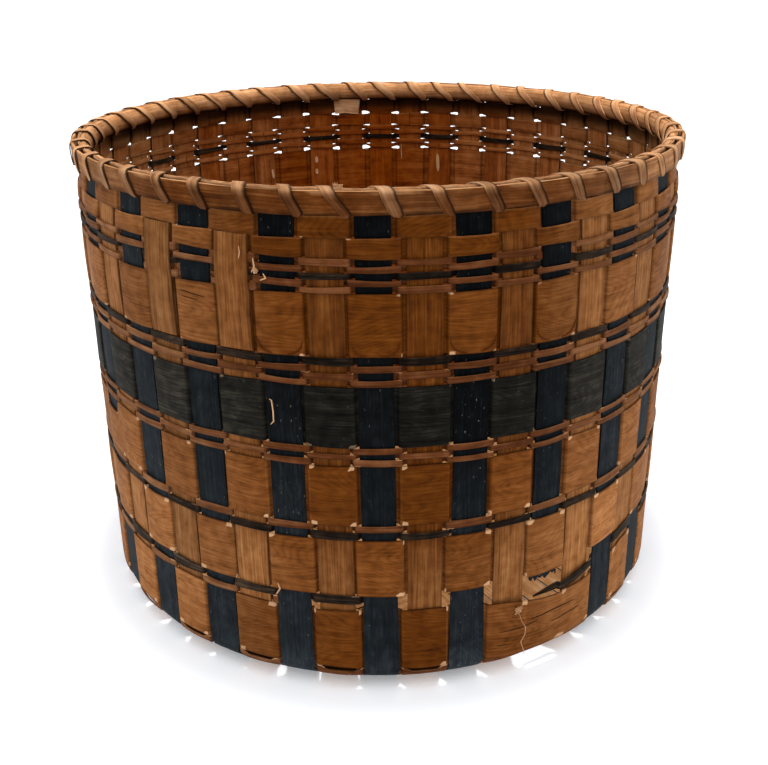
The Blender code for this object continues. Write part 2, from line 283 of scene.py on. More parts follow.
@dataclass
class Bench:
    """Lays out the nodes of one material."""

    name: str

    def __post_init__(self) -> None:
        """Start the material with its shader."""
        self.material = bpy.data.materials.new(self.name)
        self.material.use_nodes = True
        self.tree = self.material.node_tree
        self.shader = self.tree.nodes["Principled BSDF"]

    def feed(self, node: bpy.types.Node, feeds: dict) -> bpy.types.Node:
        """Set or link a node's inputs.

        Args:
            node: The node.
            feeds: Input name or number to a value or another node's output.

        Returns:
            The node.
        """
        for key, value in feeds.items():
            if isinstance(value, bpy.types.NodeSocket):
                self.tree.links.new(value, node.inputs[key])
            else:
                node.inputs[key].default_value = value
        return node

    def add(self, kind: str, feeds: dict, **settings: object) -> bpy.types.Node:
        """Add a node.

        Args:
            kind: The node's type name without its ShaderNode.
            feeds: Its inputs.
            **settings: Its own settings.

        Returns:
            The node.
        """
        node = self.tree.nodes.new("ShaderNode" + kind)
        for key, value in settings.items():
            setattr(node, key, value)
        return self.feed(node, feeds)

    def sum(self, operation: str, first: object, second: object = 0.0,
            clamp: bool = False) -> object:
        """One step of arithmetic.

        Args:
            operation: The Math node's operation.
            first: Its first number or socket.
            second: Its second number or socket.
            clamp: Whether the result is kept from 0 to 1.

        Returns:
            The result's socket.
        """
        node = self.add("Math", {0: first, 1: second}, operation=operation, use_clamp=clamp)
        return node.outputs[0]

    def swing(self, value: object, size: float, middle: float = 0.5,
              clamp: bool = False) -> object:
        """How far a value is from a middle, times a size."""
        return self.sum("MULTIPLY", self.sum("SUBTRACT", value, middle), size, clamp)

    def noise(self, place: object, scale: tuple[float, float], detail: float = 3.0) -> object:
        """Noise stretched along the grain.

        Args:
            place: The coordinates' socket.
            scale: Noise cells to the metre, along and across the grain.
            detail: The noise's detail.

        Returns:
            The noise's socket.
        """
        mapping = self.add("Mapping", {"Vector": place, "Scale": (scale[0], scale[1], 1.0)})
        feeds = {"Vector": mapping.outputs[0], "Scale": 1.0, "Detail": detail, "Roughness": 0.55}
        return self.add("TexNoise", feeds, noise_dimensions="2D").outputs[0]

    def ramp(self, share: object, stops: tuple) -> object:
        """A colour for each share.

        Args:
            share: The share's socket.
            stops: Places and colours, in order.

        Returns:
            The colour's socket.
        """
        node = self.add("ValToRGB", {0: share})
        band = node.color_ramp
        while len(band.elements) < len(stops):
            band.elements.new(0.5)
        for element, (position, colour) in zip(band.elements, stops):
            element.position = position
            element.color = colour
        return node.outputs[0]

    def mix(self, share: object, first: object, second: object) -> object:
        """One colour over another.

        Args:
            share: How much of the second.
            first: The first colour.
            second: The second colour.

        Returns:
            The mixed colour's socket.
        """
        node = self.add("Mix", {0: share, 6: first, 7: second}, data_type="RGBA")
        return node.outputs[2]


FINE_GRAIN = ((30.0, 900.0), 4.0)
BROAD_GRAIN = ((9.0, 210.0), 3.0)
RING_DRIFT = ((11.0, 42.0), 1.0)
PATCHES = ((130.0, 160.0), 3.0)
SPECKS = ((260.0, 700.0), 2.0)
RING_TURNS, RING_SHARPNESS, RING_DEPTH = 75.0, 5.0, 0.3
PATCH_SWING = 0.42
GRAIN_STOPS = (0.22, 0.5, 0.8)
WEAR_REACH, WEAR_EDGE = 1.5, 6.0
SPECK_FLOOR, SPECK_EDGE = 0.74, 12.0
GRAIN_BUMP, GRAIN_DEPTH = 0.35, 0.25 * MM


@dataclass(frozen=True)
class SplintFinish:
    """A wood face with its grain along the splint.

    The tone attribute brings lightness in red, wear in green, stains and painted
    shade in blue, and faded colour and painted light in alpha.
    """

    tint: Tint
    aged: tuple
    bleached_and_lit: tuple
    worn: tuple
    stain_and_shade: tuple
    roughness: float = 0.6
    specular: float = 0.02
    fibre: float = 0.5
    streak: float = 0.6
    flame: float = 0.3
    speck: float = 0.0

    def material(self) -> bpy.types.Material:
        """Build the material.

        Returns:
            The material.
        """
        bench = Bench(self.tint.value)
        place = bench.add("UVMap", {}, uv_map="grain").outputs[0]
        fine = bench.noise(place, *FINE_GRAIN)
        broad = bench.noise(place, *BROAD_GRAIN)
        drift = bench.noise(place, *RING_DRIFT)
        patch = bench.noise(place, *PATCHES)
        rings = bench.sum("SINE", bench.sum("MULTIPLY", drift, RING_TURNS))
        rings = bench.sum("POWER", bench.sum("ABSOLUTE", rings), RING_SHARPNESS)
        share = bench.swing(fine, self.fibre)
        share = bench.sum("ADD", share, bench.swing(broad, self.streak))
        share = bench.sum("ADD", share, bench.swing(patch, PATCH_SWING))
        share = bench.sum("ADD", share, 0.5)
        rings = bench.sum("MULTIPLY", rings, self.flame * RING_DEPTH)
        share = bench.sum("SUBTRACT", share, rings)
        tone = bench.add("Attribute", {}, attribute_name="tone")
        light, wear, stain_and_shade = bench.add("SeparateColor", {0: tone.outputs["Color"]}).outputs
        aged = bench.ramp(share, tuple(zip(GRAIN_STOPS, self.aged)))
        bleached_and_lit = bench.ramp(share, tuple(zip(GRAIN_STOPS, self.bleached_and_lit)))
        # Towards the pale grain where faded, and where light is painted.
        colour = bench.mix(tone.outputs["Alpha"], aged, bleached_and_lit)
        wear = bench.sum("MULTIPLY", wear, WEAR_REACH)
        wear = bench.sum("ADD", wear, bench.sum("SUBTRACT", patch, 1.0))
        wear = bench.sum("MULTIPLY", wear, WEAR_EDGE, clamp=True)
        if self.speck:
            specks = bench.noise(place, *SPECKS)
            specks = bench.swing(specks, SPECK_EDGE, SPECK_FLOOR, clamp=True)
            wear = bench.sum("ADD", wear, bench.sum("MULTIPLY", specks, self.speck), clamp=True)
        colour = bench.mix(wear, colour, self.worn)
        # Darker where stained, and where shade is painted.
        colour = bench.mix(stain_and_shade, colour, self.stain_and_shade)
        light = bench.sum("MULTIPLY", light, 2.0)
        colour = bench.add("VectorMath", {0: colour, 3: light}, operation="SCALE").outputs[0]
        bump = {"Strength": GRAIN_BUMP, "Distance": GRAIN_DEPTH, "Height": share}
        bench.feed(bench.shader, {
            "Base Color": colour, "Roughness": self.roughness,
            "Normal": bench.add("Bump", bump).outputs[0],
            "Specular IOR Level": self.specular})
        return bench.material


AGED = shades((62, 28, 4), (96, 49, 10), (122, 70, 22))
# Pale grain colours, for faded wood and for painted light.
BLEACHED_AND_LIT = shades((118, 70, 32), (164, 108, 62), (194, 142, 94))
WORN = linear(194, 150, 110)
# Dark colour for stains and for painted shade.
DIRT_AND_SHADE = linear(24, 11, 4)
FINISHES = (
    SplintFinish(Tint.CHESTNUT, AGED, BLEACHED_AND_LIT, WORN, DIRT_AND_SHADE, fibre=0.45, streak=0.3, flame=0.32),
    SplintFinish(Tint.STAKE, shades((54, 23, 4), (88, 45, 10), (118, 68, 26)),
                 shades((116, 70, 32), (172, 115, 67), (206, 154, 102)),
                 WORN, DIRT_AND_SHADE, fibre=0.7, streak=0.3, flame=0.0),
    SplintFinish(Tint.RUSSET, shades((50, 24, 8), (88, 47, 22), (120, 74, 44)),
                 shades((94, 57, 32), (134, 90, 57), (170, 127, 90)), WORN, DIRT_AND_SHADE, flame=0.0),
    SplintFinish(Tint.INNER, shades((84, 30, 2), (134, 62, 8), (160, 88, 26)),
                 shades((124, 78, 40), (172, 124, 78), (204, 164, 122)), WORN, DIRT_AND_SHADE, flame=0.1),
    SplintFinish(Tint.INDIGO, shades((2, 2, 3), (6, 7, 8), (20, 23, 25)),
                 shades((25, 29, 32), (40, 46, 50), (63, 68, 71)),
                 linear(128, 122, 112), linear(2, 2, 2), streak=0.3, speck=0.45),
    SplintFinish(Tint.CHARCOAL, shades((8, 7, 5), (25, 24, 20), (52, 48, 40)),
                 shades((26, 24, 21), (48, 44, 38), (84, 78, 66)),
                 linear(108, 92, 72), linear(3, 3, 3), fibre=0.55, streak=0.4, speck=0.3),
    SplintFinish(Tint.SOOT, shades((8, 5, 3), (26, 18, 13), (60, 44, 32)),
                 shades((34, 26, 18), (58, 46, 36), (90, 76, 60)),
                 linear(110, 88, 66), linear(3, 3, 3), fibre=0.8),
    SplintFinish(Tint.HOOP, shades((54, 25, 6), (92, 48, 16), (130, 80, 40)),
                 shades((126, 80, 46), (180, 128, 84), (214, 168, 124)), WORN, DIRT_AND_SHADE,
                 fibre=0.6, streak=0.45, flame=0.05),
    SplintFinish(Tint.LASH, shades((54, 26, 8), (98, 54, 24), (138, 90, 52)),
                 shades((128, 84, 50), (182, 132, 90), (218, 176, 136)), WORN, DIRT_AND_SHADE, flame=0.0),
    SplintFinish(Tint.FIBRE, shades((142, 96, 62), (190, 144, 104), (222, 186, 150)),
                 BLEACHED_AND_LIT, WORN, DIRT_AND_SHADE, flame=0.0),
    SplintFinish(Tint.WATERMARK, shades((60, 27, 5), (76, 37, 9), (90, 48, 14)),
                 BLEACHED_AND_LIT, WORN, DIRT_AND_SHADE, flame=0.0),
)
LEANS = (
    (-8, -0.05, -0.05), (-6, 0.03, 0.075), (-5, 0.03, 0.05), (-4, 0.02, 0.035), (-3, 0.015, 0.0),
    (-2, 0.01, -0.016), (-1, 0.04, -0.03), (0, 0.035, -0.055), (1, 0.035, -0.02), (2, 0.04, 0.008),
    (3, 0.08, -0.05), (4, 0.06, -0.108), (5, 0.1, -0.05), (6, 0.19, -0.004), (7, 0.08, 0.0),
    (8, 0.03, 0.006),
)
SHADES = ((-5, 0.78), (-3, 1.1), (-2, 1.35), (-1, 0.92), (0, 0.76), (2, 1.45))
GIRTHS = ((0.0151, 0.03, 0.06, 0.15, 0.25), (0.0198, 0.0197, 0.0187, 0.018, 0.0172))
BEND_WIDTHS = ((-1.0, 0.0, 0.2, 0.4, 0.5, 0.58, 1.0), (18.4, 21.2, 22.8, 23.4, 20.2, 18.2, 19.6))
# Paler towards the sides round the wall: partly faded, partly painted side light.
SIDE_FADE_AND_LIGHT = ((-24, -19, -15, -6.5, -4.0, -2.0, 3.2, 4.2, 6.5, 14, 19, 24),
          (0.0, 0.2, 0.55, 0.55, 0.36, 0.0, 0.0, 0.3, 0.5, 0.68, 0.35, 0.0))
# Paler low down: partly paler wood, partly painted light thrown up from the floor.
LOW_BOUNCE_AND_BLEACH = ((0.02, 0.05, 0.08, 0.105, 0.13, 0.28), (0.12, 0.2, 0.26, 0.06, 0.0, 0.0))
# The most paling, faded and painted light together.
MOST_BLEACH_AND_LIGHT = 0.7
# Dyed stakes paler low down: partly faded dye, partly painted floor-bounce light.
INDIGO_BOUNCE_AND_BLEACH = ((0.04, 0.08, 0.12, 0.17, 0.25), (0.5, 0.42, 0.26, 0.08, 0.0))
# Plain stakes paler still low down: partly paler wood, partly painted floor-bounce light.
STAKE_BOUNCE_AND_BLEACH = ((0.05, 0.1), (0.15, 0.0))
TORN_BLEND = 12.0 * MM
SPILL = 4.4 * MM
SPILL_SHARE = ((-0.5, 0.0, 0.4, 0.5), (0.0, 1.0, 1.0, 0.0))
CORNER_WEAR = ((0.03, 0.07, 0.16, 0.26), (1.0, 0.9, 0.55, 0.3))


@dataclass
class Wall:
    """The run of the stakes' middle from the base to the rim, and its sway."""

    neck: float = 0.1748
    shoulder_swell: float = 0.0026
    foot_swell: float = 0.0039
    bend_reach: float = 0.022
    bend_rise: float = 0.0136
    base_level: float = 0.0015
    easing: float = 0.009
    sway_share: float = 0.028
    margin: float = 0.02
    marks: int = 1200

    def __post_init__(self) -> None:
        """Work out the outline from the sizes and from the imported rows."""
        self.foot = self.neck + self.foot_swell
        self.flat = self.foot - self.bend_reach
        self.foot_level = self.base_level + self.bend_rise
        mean_square = (self.bend_reach ** 2 + self.bend_rise ** 2) / 2.0
        self.bend_length = math.pi / 2.0 * math.sqrt(mean_square)
        self.hoop_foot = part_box("outer_rim_hoop")[0].z
        self.rim_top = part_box("outer_rim_hoop")[1].z
        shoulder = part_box("medium_weaver_6")[0].z
        heights = np.linspace(
            self.foot_level - self.margin, self.rim_top + self.margin, self.marks)
        radii = np.interp(heights, (self.foot_level, shoulder, self.hoop_foot),
                          (self.foot, self.neck + self.shoulder_swell, self.neck))
        reach = int(self.easing / (heights[1] - heights[0]))
        window = np.ones(2 * reach + 1) / (2 * reach + 1)
        self.heights = heights
        self.radii = np.convolve(np.pad(radii, reach, mode="edge"), window, mode="valid")
        self.foot_sway = chance(Draw.FOOT_SWAY) * self.sway_share
        self.rim_sway = chance(Draw.RIM_SWAY) * self.sway_share
        for stake, foot, rim in LEANS:
            self.foot_sway[stake % STAKES] = foot
            self.rim_sway[stake % STAKES] = rim

    def radius(self, height: np.ndarray) -> np.ndarray:
        """Radius of the stakes' middle on the wall and on its bend.

        Args:
            height: Heights.

        Returns:
            The radius at each height.
        """
        risen = (np.asarray(height, float) - self.base_level) / self.bend_rise
        risen = np.clip(risen, 0.0, 1.0)
        bent = self.bend_reach * (1.0 - np.sqrt(1.0 - (1.0 - risen) ** 2))
        return np.interp(height, self.heights, self.radii) - bent

    def girth(self, height: np.ndarray) -> np.ndarray:
        """Width of a stake at a height: they taper upwards."""
        return np.interp(height, *GIRTHS)

    def sway(self, stake: np.ndarray, height: np.ndarray) -> np.ndarray:
        """Sideways drift of the stakes.

        Args:
            stake: Places round the wall, in stake steps.
            height: Heights.

        Returns:
            The drift at each place, in stake steps.
        """
        share = (height - self.foot_level) / (self.rim_top - self.foot_level)
        share = np.clip(share, 0.0, 1.0)
        low, high = between(self.foot_sway, stake), between(self.rim_sway, stake)
        return (1.0 - share) * low + share * high

    def place(self, radius: np.ndarray, stake: np.ndarray, height: np.ndarray) -> np.ndarray:
        """Points in space.

        Args:
            radius: Distances from the basket's axis.
            stake: Places round the wall, in stake steps.
            height: Heights.

        Returns:
            The points, with their coordinates last.
        """
        turn = np.asarray(stake, float) * STEP
        radius, turn, height = np.broadcast_arrays(radius, turn, height)
        return np.stack((radius * np.sin(turn), -radius * np.cos(turn), height), axis=-1)

    def point(self, stake: np.ndarray, height: np.ndarray, out: np.ndarray) -> np.ndarray:
        """Points on the swaying wall.

        Args:
            stake: Places round the wall, in stake steps.
            height: Heights.
            out: Distance outside the stakes' middle.

        Returns:
            The points, with their coordinates last.
        """
        return self.place(self.radius(height) + out, stake + self.sway(stake, height), height)


def lay_strip(name: str, points: np.ndarray, grain: np.ndarray, tone: np.ndarray,
              thickness: float, faces: tuple) -> bpy.types.Object:
    """A splint: a grid bent to its place, thickened, with its grain mapped.

    Args:
        name: The piece's name.
        points: The middle surface, as columns, rows and coordinates.
        grain: Length and width along the splint at each point.
        tone: Lightness, wear, stain and bleaching at each point.
        thickness: The splint's thickness.
        faces: The finishes of its outer and inner face. The edges take the first.

    Returns:
        The finished piece.
    """
    columns, rows = points.shape[:2]
    set_down()
    bpy.ops.mesh.primitive_grid_add(x_subdivisions=columns - 1, y_subdivisions=rows - 1, size=2.0)
    strip = bpy.context.object
    strip.name = strip.data.name = name
    mesh = strip.data
    flat = read_points(mesh)
    column = np.rint((flat[:, 0] + 1.0) / 2.0 * (columns - 1)).astype(int)
    row = np.rint((flat[:, 1] + 1.0) / 2.0 * (rows - 1)).astype(int)
    mesh.vertices.foreach_set("co", points[column, row].ravel())
    corner = read_numbers(mesh.loops, "vertex_index")
    layer = mesh.uv_layers[0]
    layer.name = "grain"
    layer.data.foreach_set("uv", grain[column, row][corner].ravel())
    attribute = mesh.attributes.new("tone", "FLOAT_COLOR", "POINT")
    attribute.data.foreach_set("color", tone[column, row].ravel())
    for face in faces:
        mesh.materials.append(face)
    mesh.update()
    body = strip.modifiers.new("Thickness", "SOLIDIFY")
    body.thickness = thickness
    body.offset = 0.0
    body.material_offset = len(faces) - 1
    bpy.ops.object.modifier_apply(modifier=body.name)
    bpy.ops.object.shade_smooth_by_angle(angle=SPLINT_SMOOTH)
    return strip


def join(pieces: list[bpy.types.Object], name: str) -> bpy.types.Object:
    """Join pieces into one.

    Args:
        pieces: The pieces.
        name: The joined piece's name.

    Returns:
        The joined piece.
    """
    set_down()
    for piece in pieces:
        piece.select_set(True)
    bpy.context.view_layer.objects.active = pieces[0]
    bpy.ops.object.join()
    pieces[0].name = pieces[0].data.name = name
    return pieces[0]


@dataclass
class Shop:
    """What every sub-assembly shares: the wall, the finishes and the hand-over."""

    wall: Wall
    paint: dict[Tint, bpy.types.Material]

    def hand_over(self, piece: bpy.types.Object, slot: str, *nodes: str) -> None:
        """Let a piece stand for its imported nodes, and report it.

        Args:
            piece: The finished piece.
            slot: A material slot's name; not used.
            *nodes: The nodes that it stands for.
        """
        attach(piece, "root")
        if nodes:
            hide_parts(*nodes)
        LOG.info("%s: %d faces", piece.name, len(piece.data.polygons))

    def tones(self, shape: tuple, light: object = 1.0, wear: object = 0.0,
              stain_and_shade: object = 0.0, bleach_and_light: object = 0.0) -> np.ndarray:
        """Tone values on a grid.

        Args:
            shape: The grid's columns and rows.
            light: Lightness, about 1.
            wear: Wear, from 0 to 1.
            stain_and_shade: Stains and painted shade, from 0 to 1.
            bleach_and_light: Faded colour and painted light, from 0 to 1.

        Returns:
            The four values at each point.
        """
        parts = (np.asarray(light) * 0.5, wear, stain_and_shade, bleach_and_light)
        spread = [np.broadcast_to(part, shape) for part in parts]
        return np.clip(np.stack(spread, axis=-1), 0.0, 1.0)

    def side_fade_and_light(self, stake: np.ndarray) -> np.ndarray:
        """How pale the wall is at places round it, more at the sides: faded, and painted side
        light.
        """
        return np.interp(round_front(stake), *SIDE_FADE_AND_LIGHT)

    def bleaching_and_light(self, stake: np.ndarray, height: np.ndarray) -> np.ndarray:
        """How pale the plain splints are, more to the sides and low down: faded, and painted
        light.

        Args:
            stake: Places round the wall, in stake steps.
            height: Heights.

        Returns:
            The paling, faded and painted light together, at each place.
        """
        low = np.interp(height, *LOW_BOUNCE_AND_BLEACH)
        low = low * (0.4 + 0.6 * ease(0.0, 3.0, np.abs(round_front(stake))))
        return np.minimum(low + self.side_fade_and_light(stake), MOST_BLEACH_AND_LIGHT)

    def under_rim_shadow(self, stake: np.ndarray, height: np.ndarray) -> np.ndarray:
        """Painted shadow under the rim, on the far side of the mouth."""
        high = 0.95 * ease(0.255, 0.265, height)
        return high * ease(9.0, 15.0, np.abs(round_front(stake)))


@dataclass(frozen=True)
class Slump:
    """How a weaver hangs and stands off near a broken place, in millimetres."""

    stakes: tuple[float, ...]
    foot: tuple[float, ...]
    top: tuple[float, ...]
    foot_push: tuple[float, ...]
    top_push: tuple[float, ...]

    def read(self, values: tuple[float, ...], stake: np.ndarray) -> np.ndarray:
        """One of its runs of values, in metres, at places round the wall."""
        return np.interp(round_front(stake), self.stakes, values, left=0.0, right=0.0) * MM


@dataclass
class WeaverRow:
    """One weaver of the wall."""

    node: str
    cover: Cover
    outside: Tint
    first: float
    stakes: float = 48.0
    inside: Tint = Tint.INNER
    slot: str = "plain_splint"
    hue: float = 0.0
    foot_shift: float = 0.0
    top_shift: float = 0.0
    corner_rise: float = 0.0
    lapses: tuple[int, ...] = ()
    slump: Slump | None = None


@dataclass
class WovenWall:
    """All the weavers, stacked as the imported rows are."""

    shop: Shop
    rows: tuple[WeaverRow, ...]
    thickness: float = 0.0007
    wide_limit: float = 0.02
    out: float = 0.00105
    bulge: float = 0.00045
    wander: float = 0.00035
    crown: float = 0.00016
    end_gap: float = 0.012
    wander_waves: tuple[int, ...] = (3, 7, 11, 24, 29)
    shares: tuple[float, ...] = (-0.5, -0.482, -0.465, -0.448, -0.43, -0.3, -0.15, 0.0,
                                 0.15, 0.3, 0.43, 0.448, 0.465, 0.482)
    spread: tuple[float, ...] = (-1.0, -0.955, -0.8, -0.42, 0.0, 0.42, 0.8, 0.955, 1.0)

    def stations(self, row: WeaverRow) -> np.ndarray:
        """Places round the wall at which a row's sections stand.

        Args:
            row: The row.

        Returns:
            The places, in stake steps.
        """
        last = row.first + row.stakes
        whole = np.arange(math.floor(row.first) - 1, math.ceil(last) + 2)
        marks = (whole[:, None] + np.array(self.shares)[None, :]).ravel()
        inside = marks[(marks > row.first + 0.05) & (marks < last - 0.05)]
        return np.concatenate(([row.first + self.end_gap], inside, [last - self.end_gap]))

    def slack(self, row: WeaverRow, stake: np.ndarray) -> tuple[np.ndarray, np.ndarray]:
        """How far a row's edges draw in between stakes, mostly at the back.

        Args:
            row: The row.
            stake: Places round the wall, in stake steps.

        Returns:
            The loss at its foot and at its top.
        """
        aside = np.abs(stake - np.round(stake))
        turn = np.abs(round_front(stake))
        luck = between(1.0 + 0.45 * chance(Draw.EDGE_SLACK), stake + 0.5)
        luck = np.clip(luck, 0.2, 1.8)
        hole = ease(0.36, 0.43, aside) * ease(9.0, 16.0, turn)
        middle = 0.1 * MM * ease(20.8, 22.2, turn) * (not self.is_wide(row))
        foot, top = SLACK.get(row.node, (-0.25, -0.25))
        return hole * (foot * luck * MM + middle), hole * (top * luck * MM + middle)

    def is_wide(self, row: WeaverRow) -> bool:
        """Whether a row is one of the wide weavers."""
        low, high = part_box(row.node)
        return high.z - low.z > self.wide_limit

    def tone(self, row: WeaverRow, number: int, stake: np.ndarray, across: np.ndarray,
             height: np.ndarray) -> np.ndarray:
        """A row's tones.

        Args:
            row: The row.
            number: The row's number, which picks its chances.
            stake: Places round the wall, in stake steps.
            across: Place across the row, -1 at its foot and 1 at its top.
            height: Heights.

        Returns:
            The tone values.
        """
        nearest = np.rint(stake).astype(int)
        aside = np.abs(stake - nearest)
        side = passing(stake, row.cover, row.lapses)
        squares = chance(Draw.SQUARE_LIGHT + number)[np.mod(nearest, STAKES)]
        light = 1.0 + 0.07 * squares + 0.04 * ripple(stake, Draw.ROW_LIGHT + number) + row.hue
        edge = np.abs(across) > 0.99
        corner = ease(0.38, 0.44, aside) * (np.abs(across) > 0.9) * (side > -0.5)
        pick = nearest + (across > 0) * 7 + (stake > nearest) * 19
        luck = chance(Draw.CORNER_WEAR + number)[np.mod(pick, STAKES)] > 0.45
        wear = corner * luck * np.interp(height, *CORNER_WEAR)
        # Painted shade: darker along the row's edges and where it turns in under a stake.
        stain_and_shade = 0.5 * edge * (1.0 - 0.7 * wear) + 0.5 * ease(0.1, 1.0, 1.0 - np.abs(side))
        bleach_and_light = self.shop.bleaching_and_light(stake, height) + 0.05 * squares
        # Narrow rows: painted shade on the lower part and a painted highlight along the top edge.
        if not self.is_wide(row):
            stain_and_shade = np.maximum(stain_and_shade * (across < 0.9), 0.2 * (across < -0.5))
            bleach_and_light = bleach_and_light + 0.3 * (across > 0.9)
        # Painted shadow under the rim, on the far side of the mouth.
        stain_and_shade = stain_and_shade + self.shop.under_rim_shadow(stake, height)
        return self.shop.tones(stake.shape, light, wear, stain_and_shade, bleach_and_light)

    def make(self) -> None:
        """Weave every row."""
        wall = self.shop.wall
        for number, row in enumerate(self.rows):
            low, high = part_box(row.node)
            width = high.z - low.z
            wide = self.is_wide(row)
            stake = self.stations(row)[:, None]
            across = np.array(self.spread if width > 0.008 else self.spread[::2])[None, :]
            stake, across = np.broadcast_arrays(stake, across)
            seed = Draw.EDGE_WANDER + number
            lift_low = self.wander * ripple(stake, seed, self.wander_waves)
            lift_high = self.wander * ripple(stake, seed + 1, self.wander_waves)
            foot_loss, top_loss = self.slack(row, stake)
            foot = low.z + row.foot_shift + lift_low + foot_loss
            top = high.z + row.top_shift + lift_high - top_loss
            nearest = np.rint(stake).astype(int)
            top = top + row.corner_rise * ease(0.28, 0.44, np.abs(stake - nearest))
            push = np.zeros_like(stake)
            share = (across + 1.0) / 2.0
            if row.slump:
                foot = foot - row.slump.read(row.slump.foot, stake)
                top = top - row.slump.read(row.slump.top, stake)
                push = row.slump.read(row.slump.foot_push, stake) * (1.0 - share)
                push = push + row.slump.read(row.slump.top_push, stake) * share
            height = foot + (top - foot) * share
            aside = (stake - nearest) / 0.5
            side = passing(stake, row.cover, row.lapses)
            square = np.mod(nearest, STAKES)
            swell = self.bulge * (1.0 + 0.5 * chance(Draw.SQUARE_SWELL + number)[square])
            pillow = side * swell * np.clip(1.0 - aside ** 2, 0.0, 1.0)
            curl = 0.12 * MM * chance(Draw.SQUARE_CURL + number)[square] * across
            if wide:
                pillow = pillow * (1.0 - 0.55 * across ** 2)
            else:
                curl = 0.4 * curl - self.crown * side * across ** 2
            out = side * self.out + pillow + curl * np.abs(side) + push
            points = wall.point(stake, height, out)
            length = (stake - row.first) * STEP * wall.foot + 3.7 * number
            grain = np.stack((length, across * width / 2.0 + 0.31 * number), axis=-1)
            tone = self.tone(row, number, stake, across, height)
            faces = (self.shop.paint[row.outside], self.shop.paint[row.inside])
            piece = lay_strip(row.node + "_woven", points, grain, tone, self.thickness, faces)
            self.shop.hand_over(piece, row.slot, row.node)


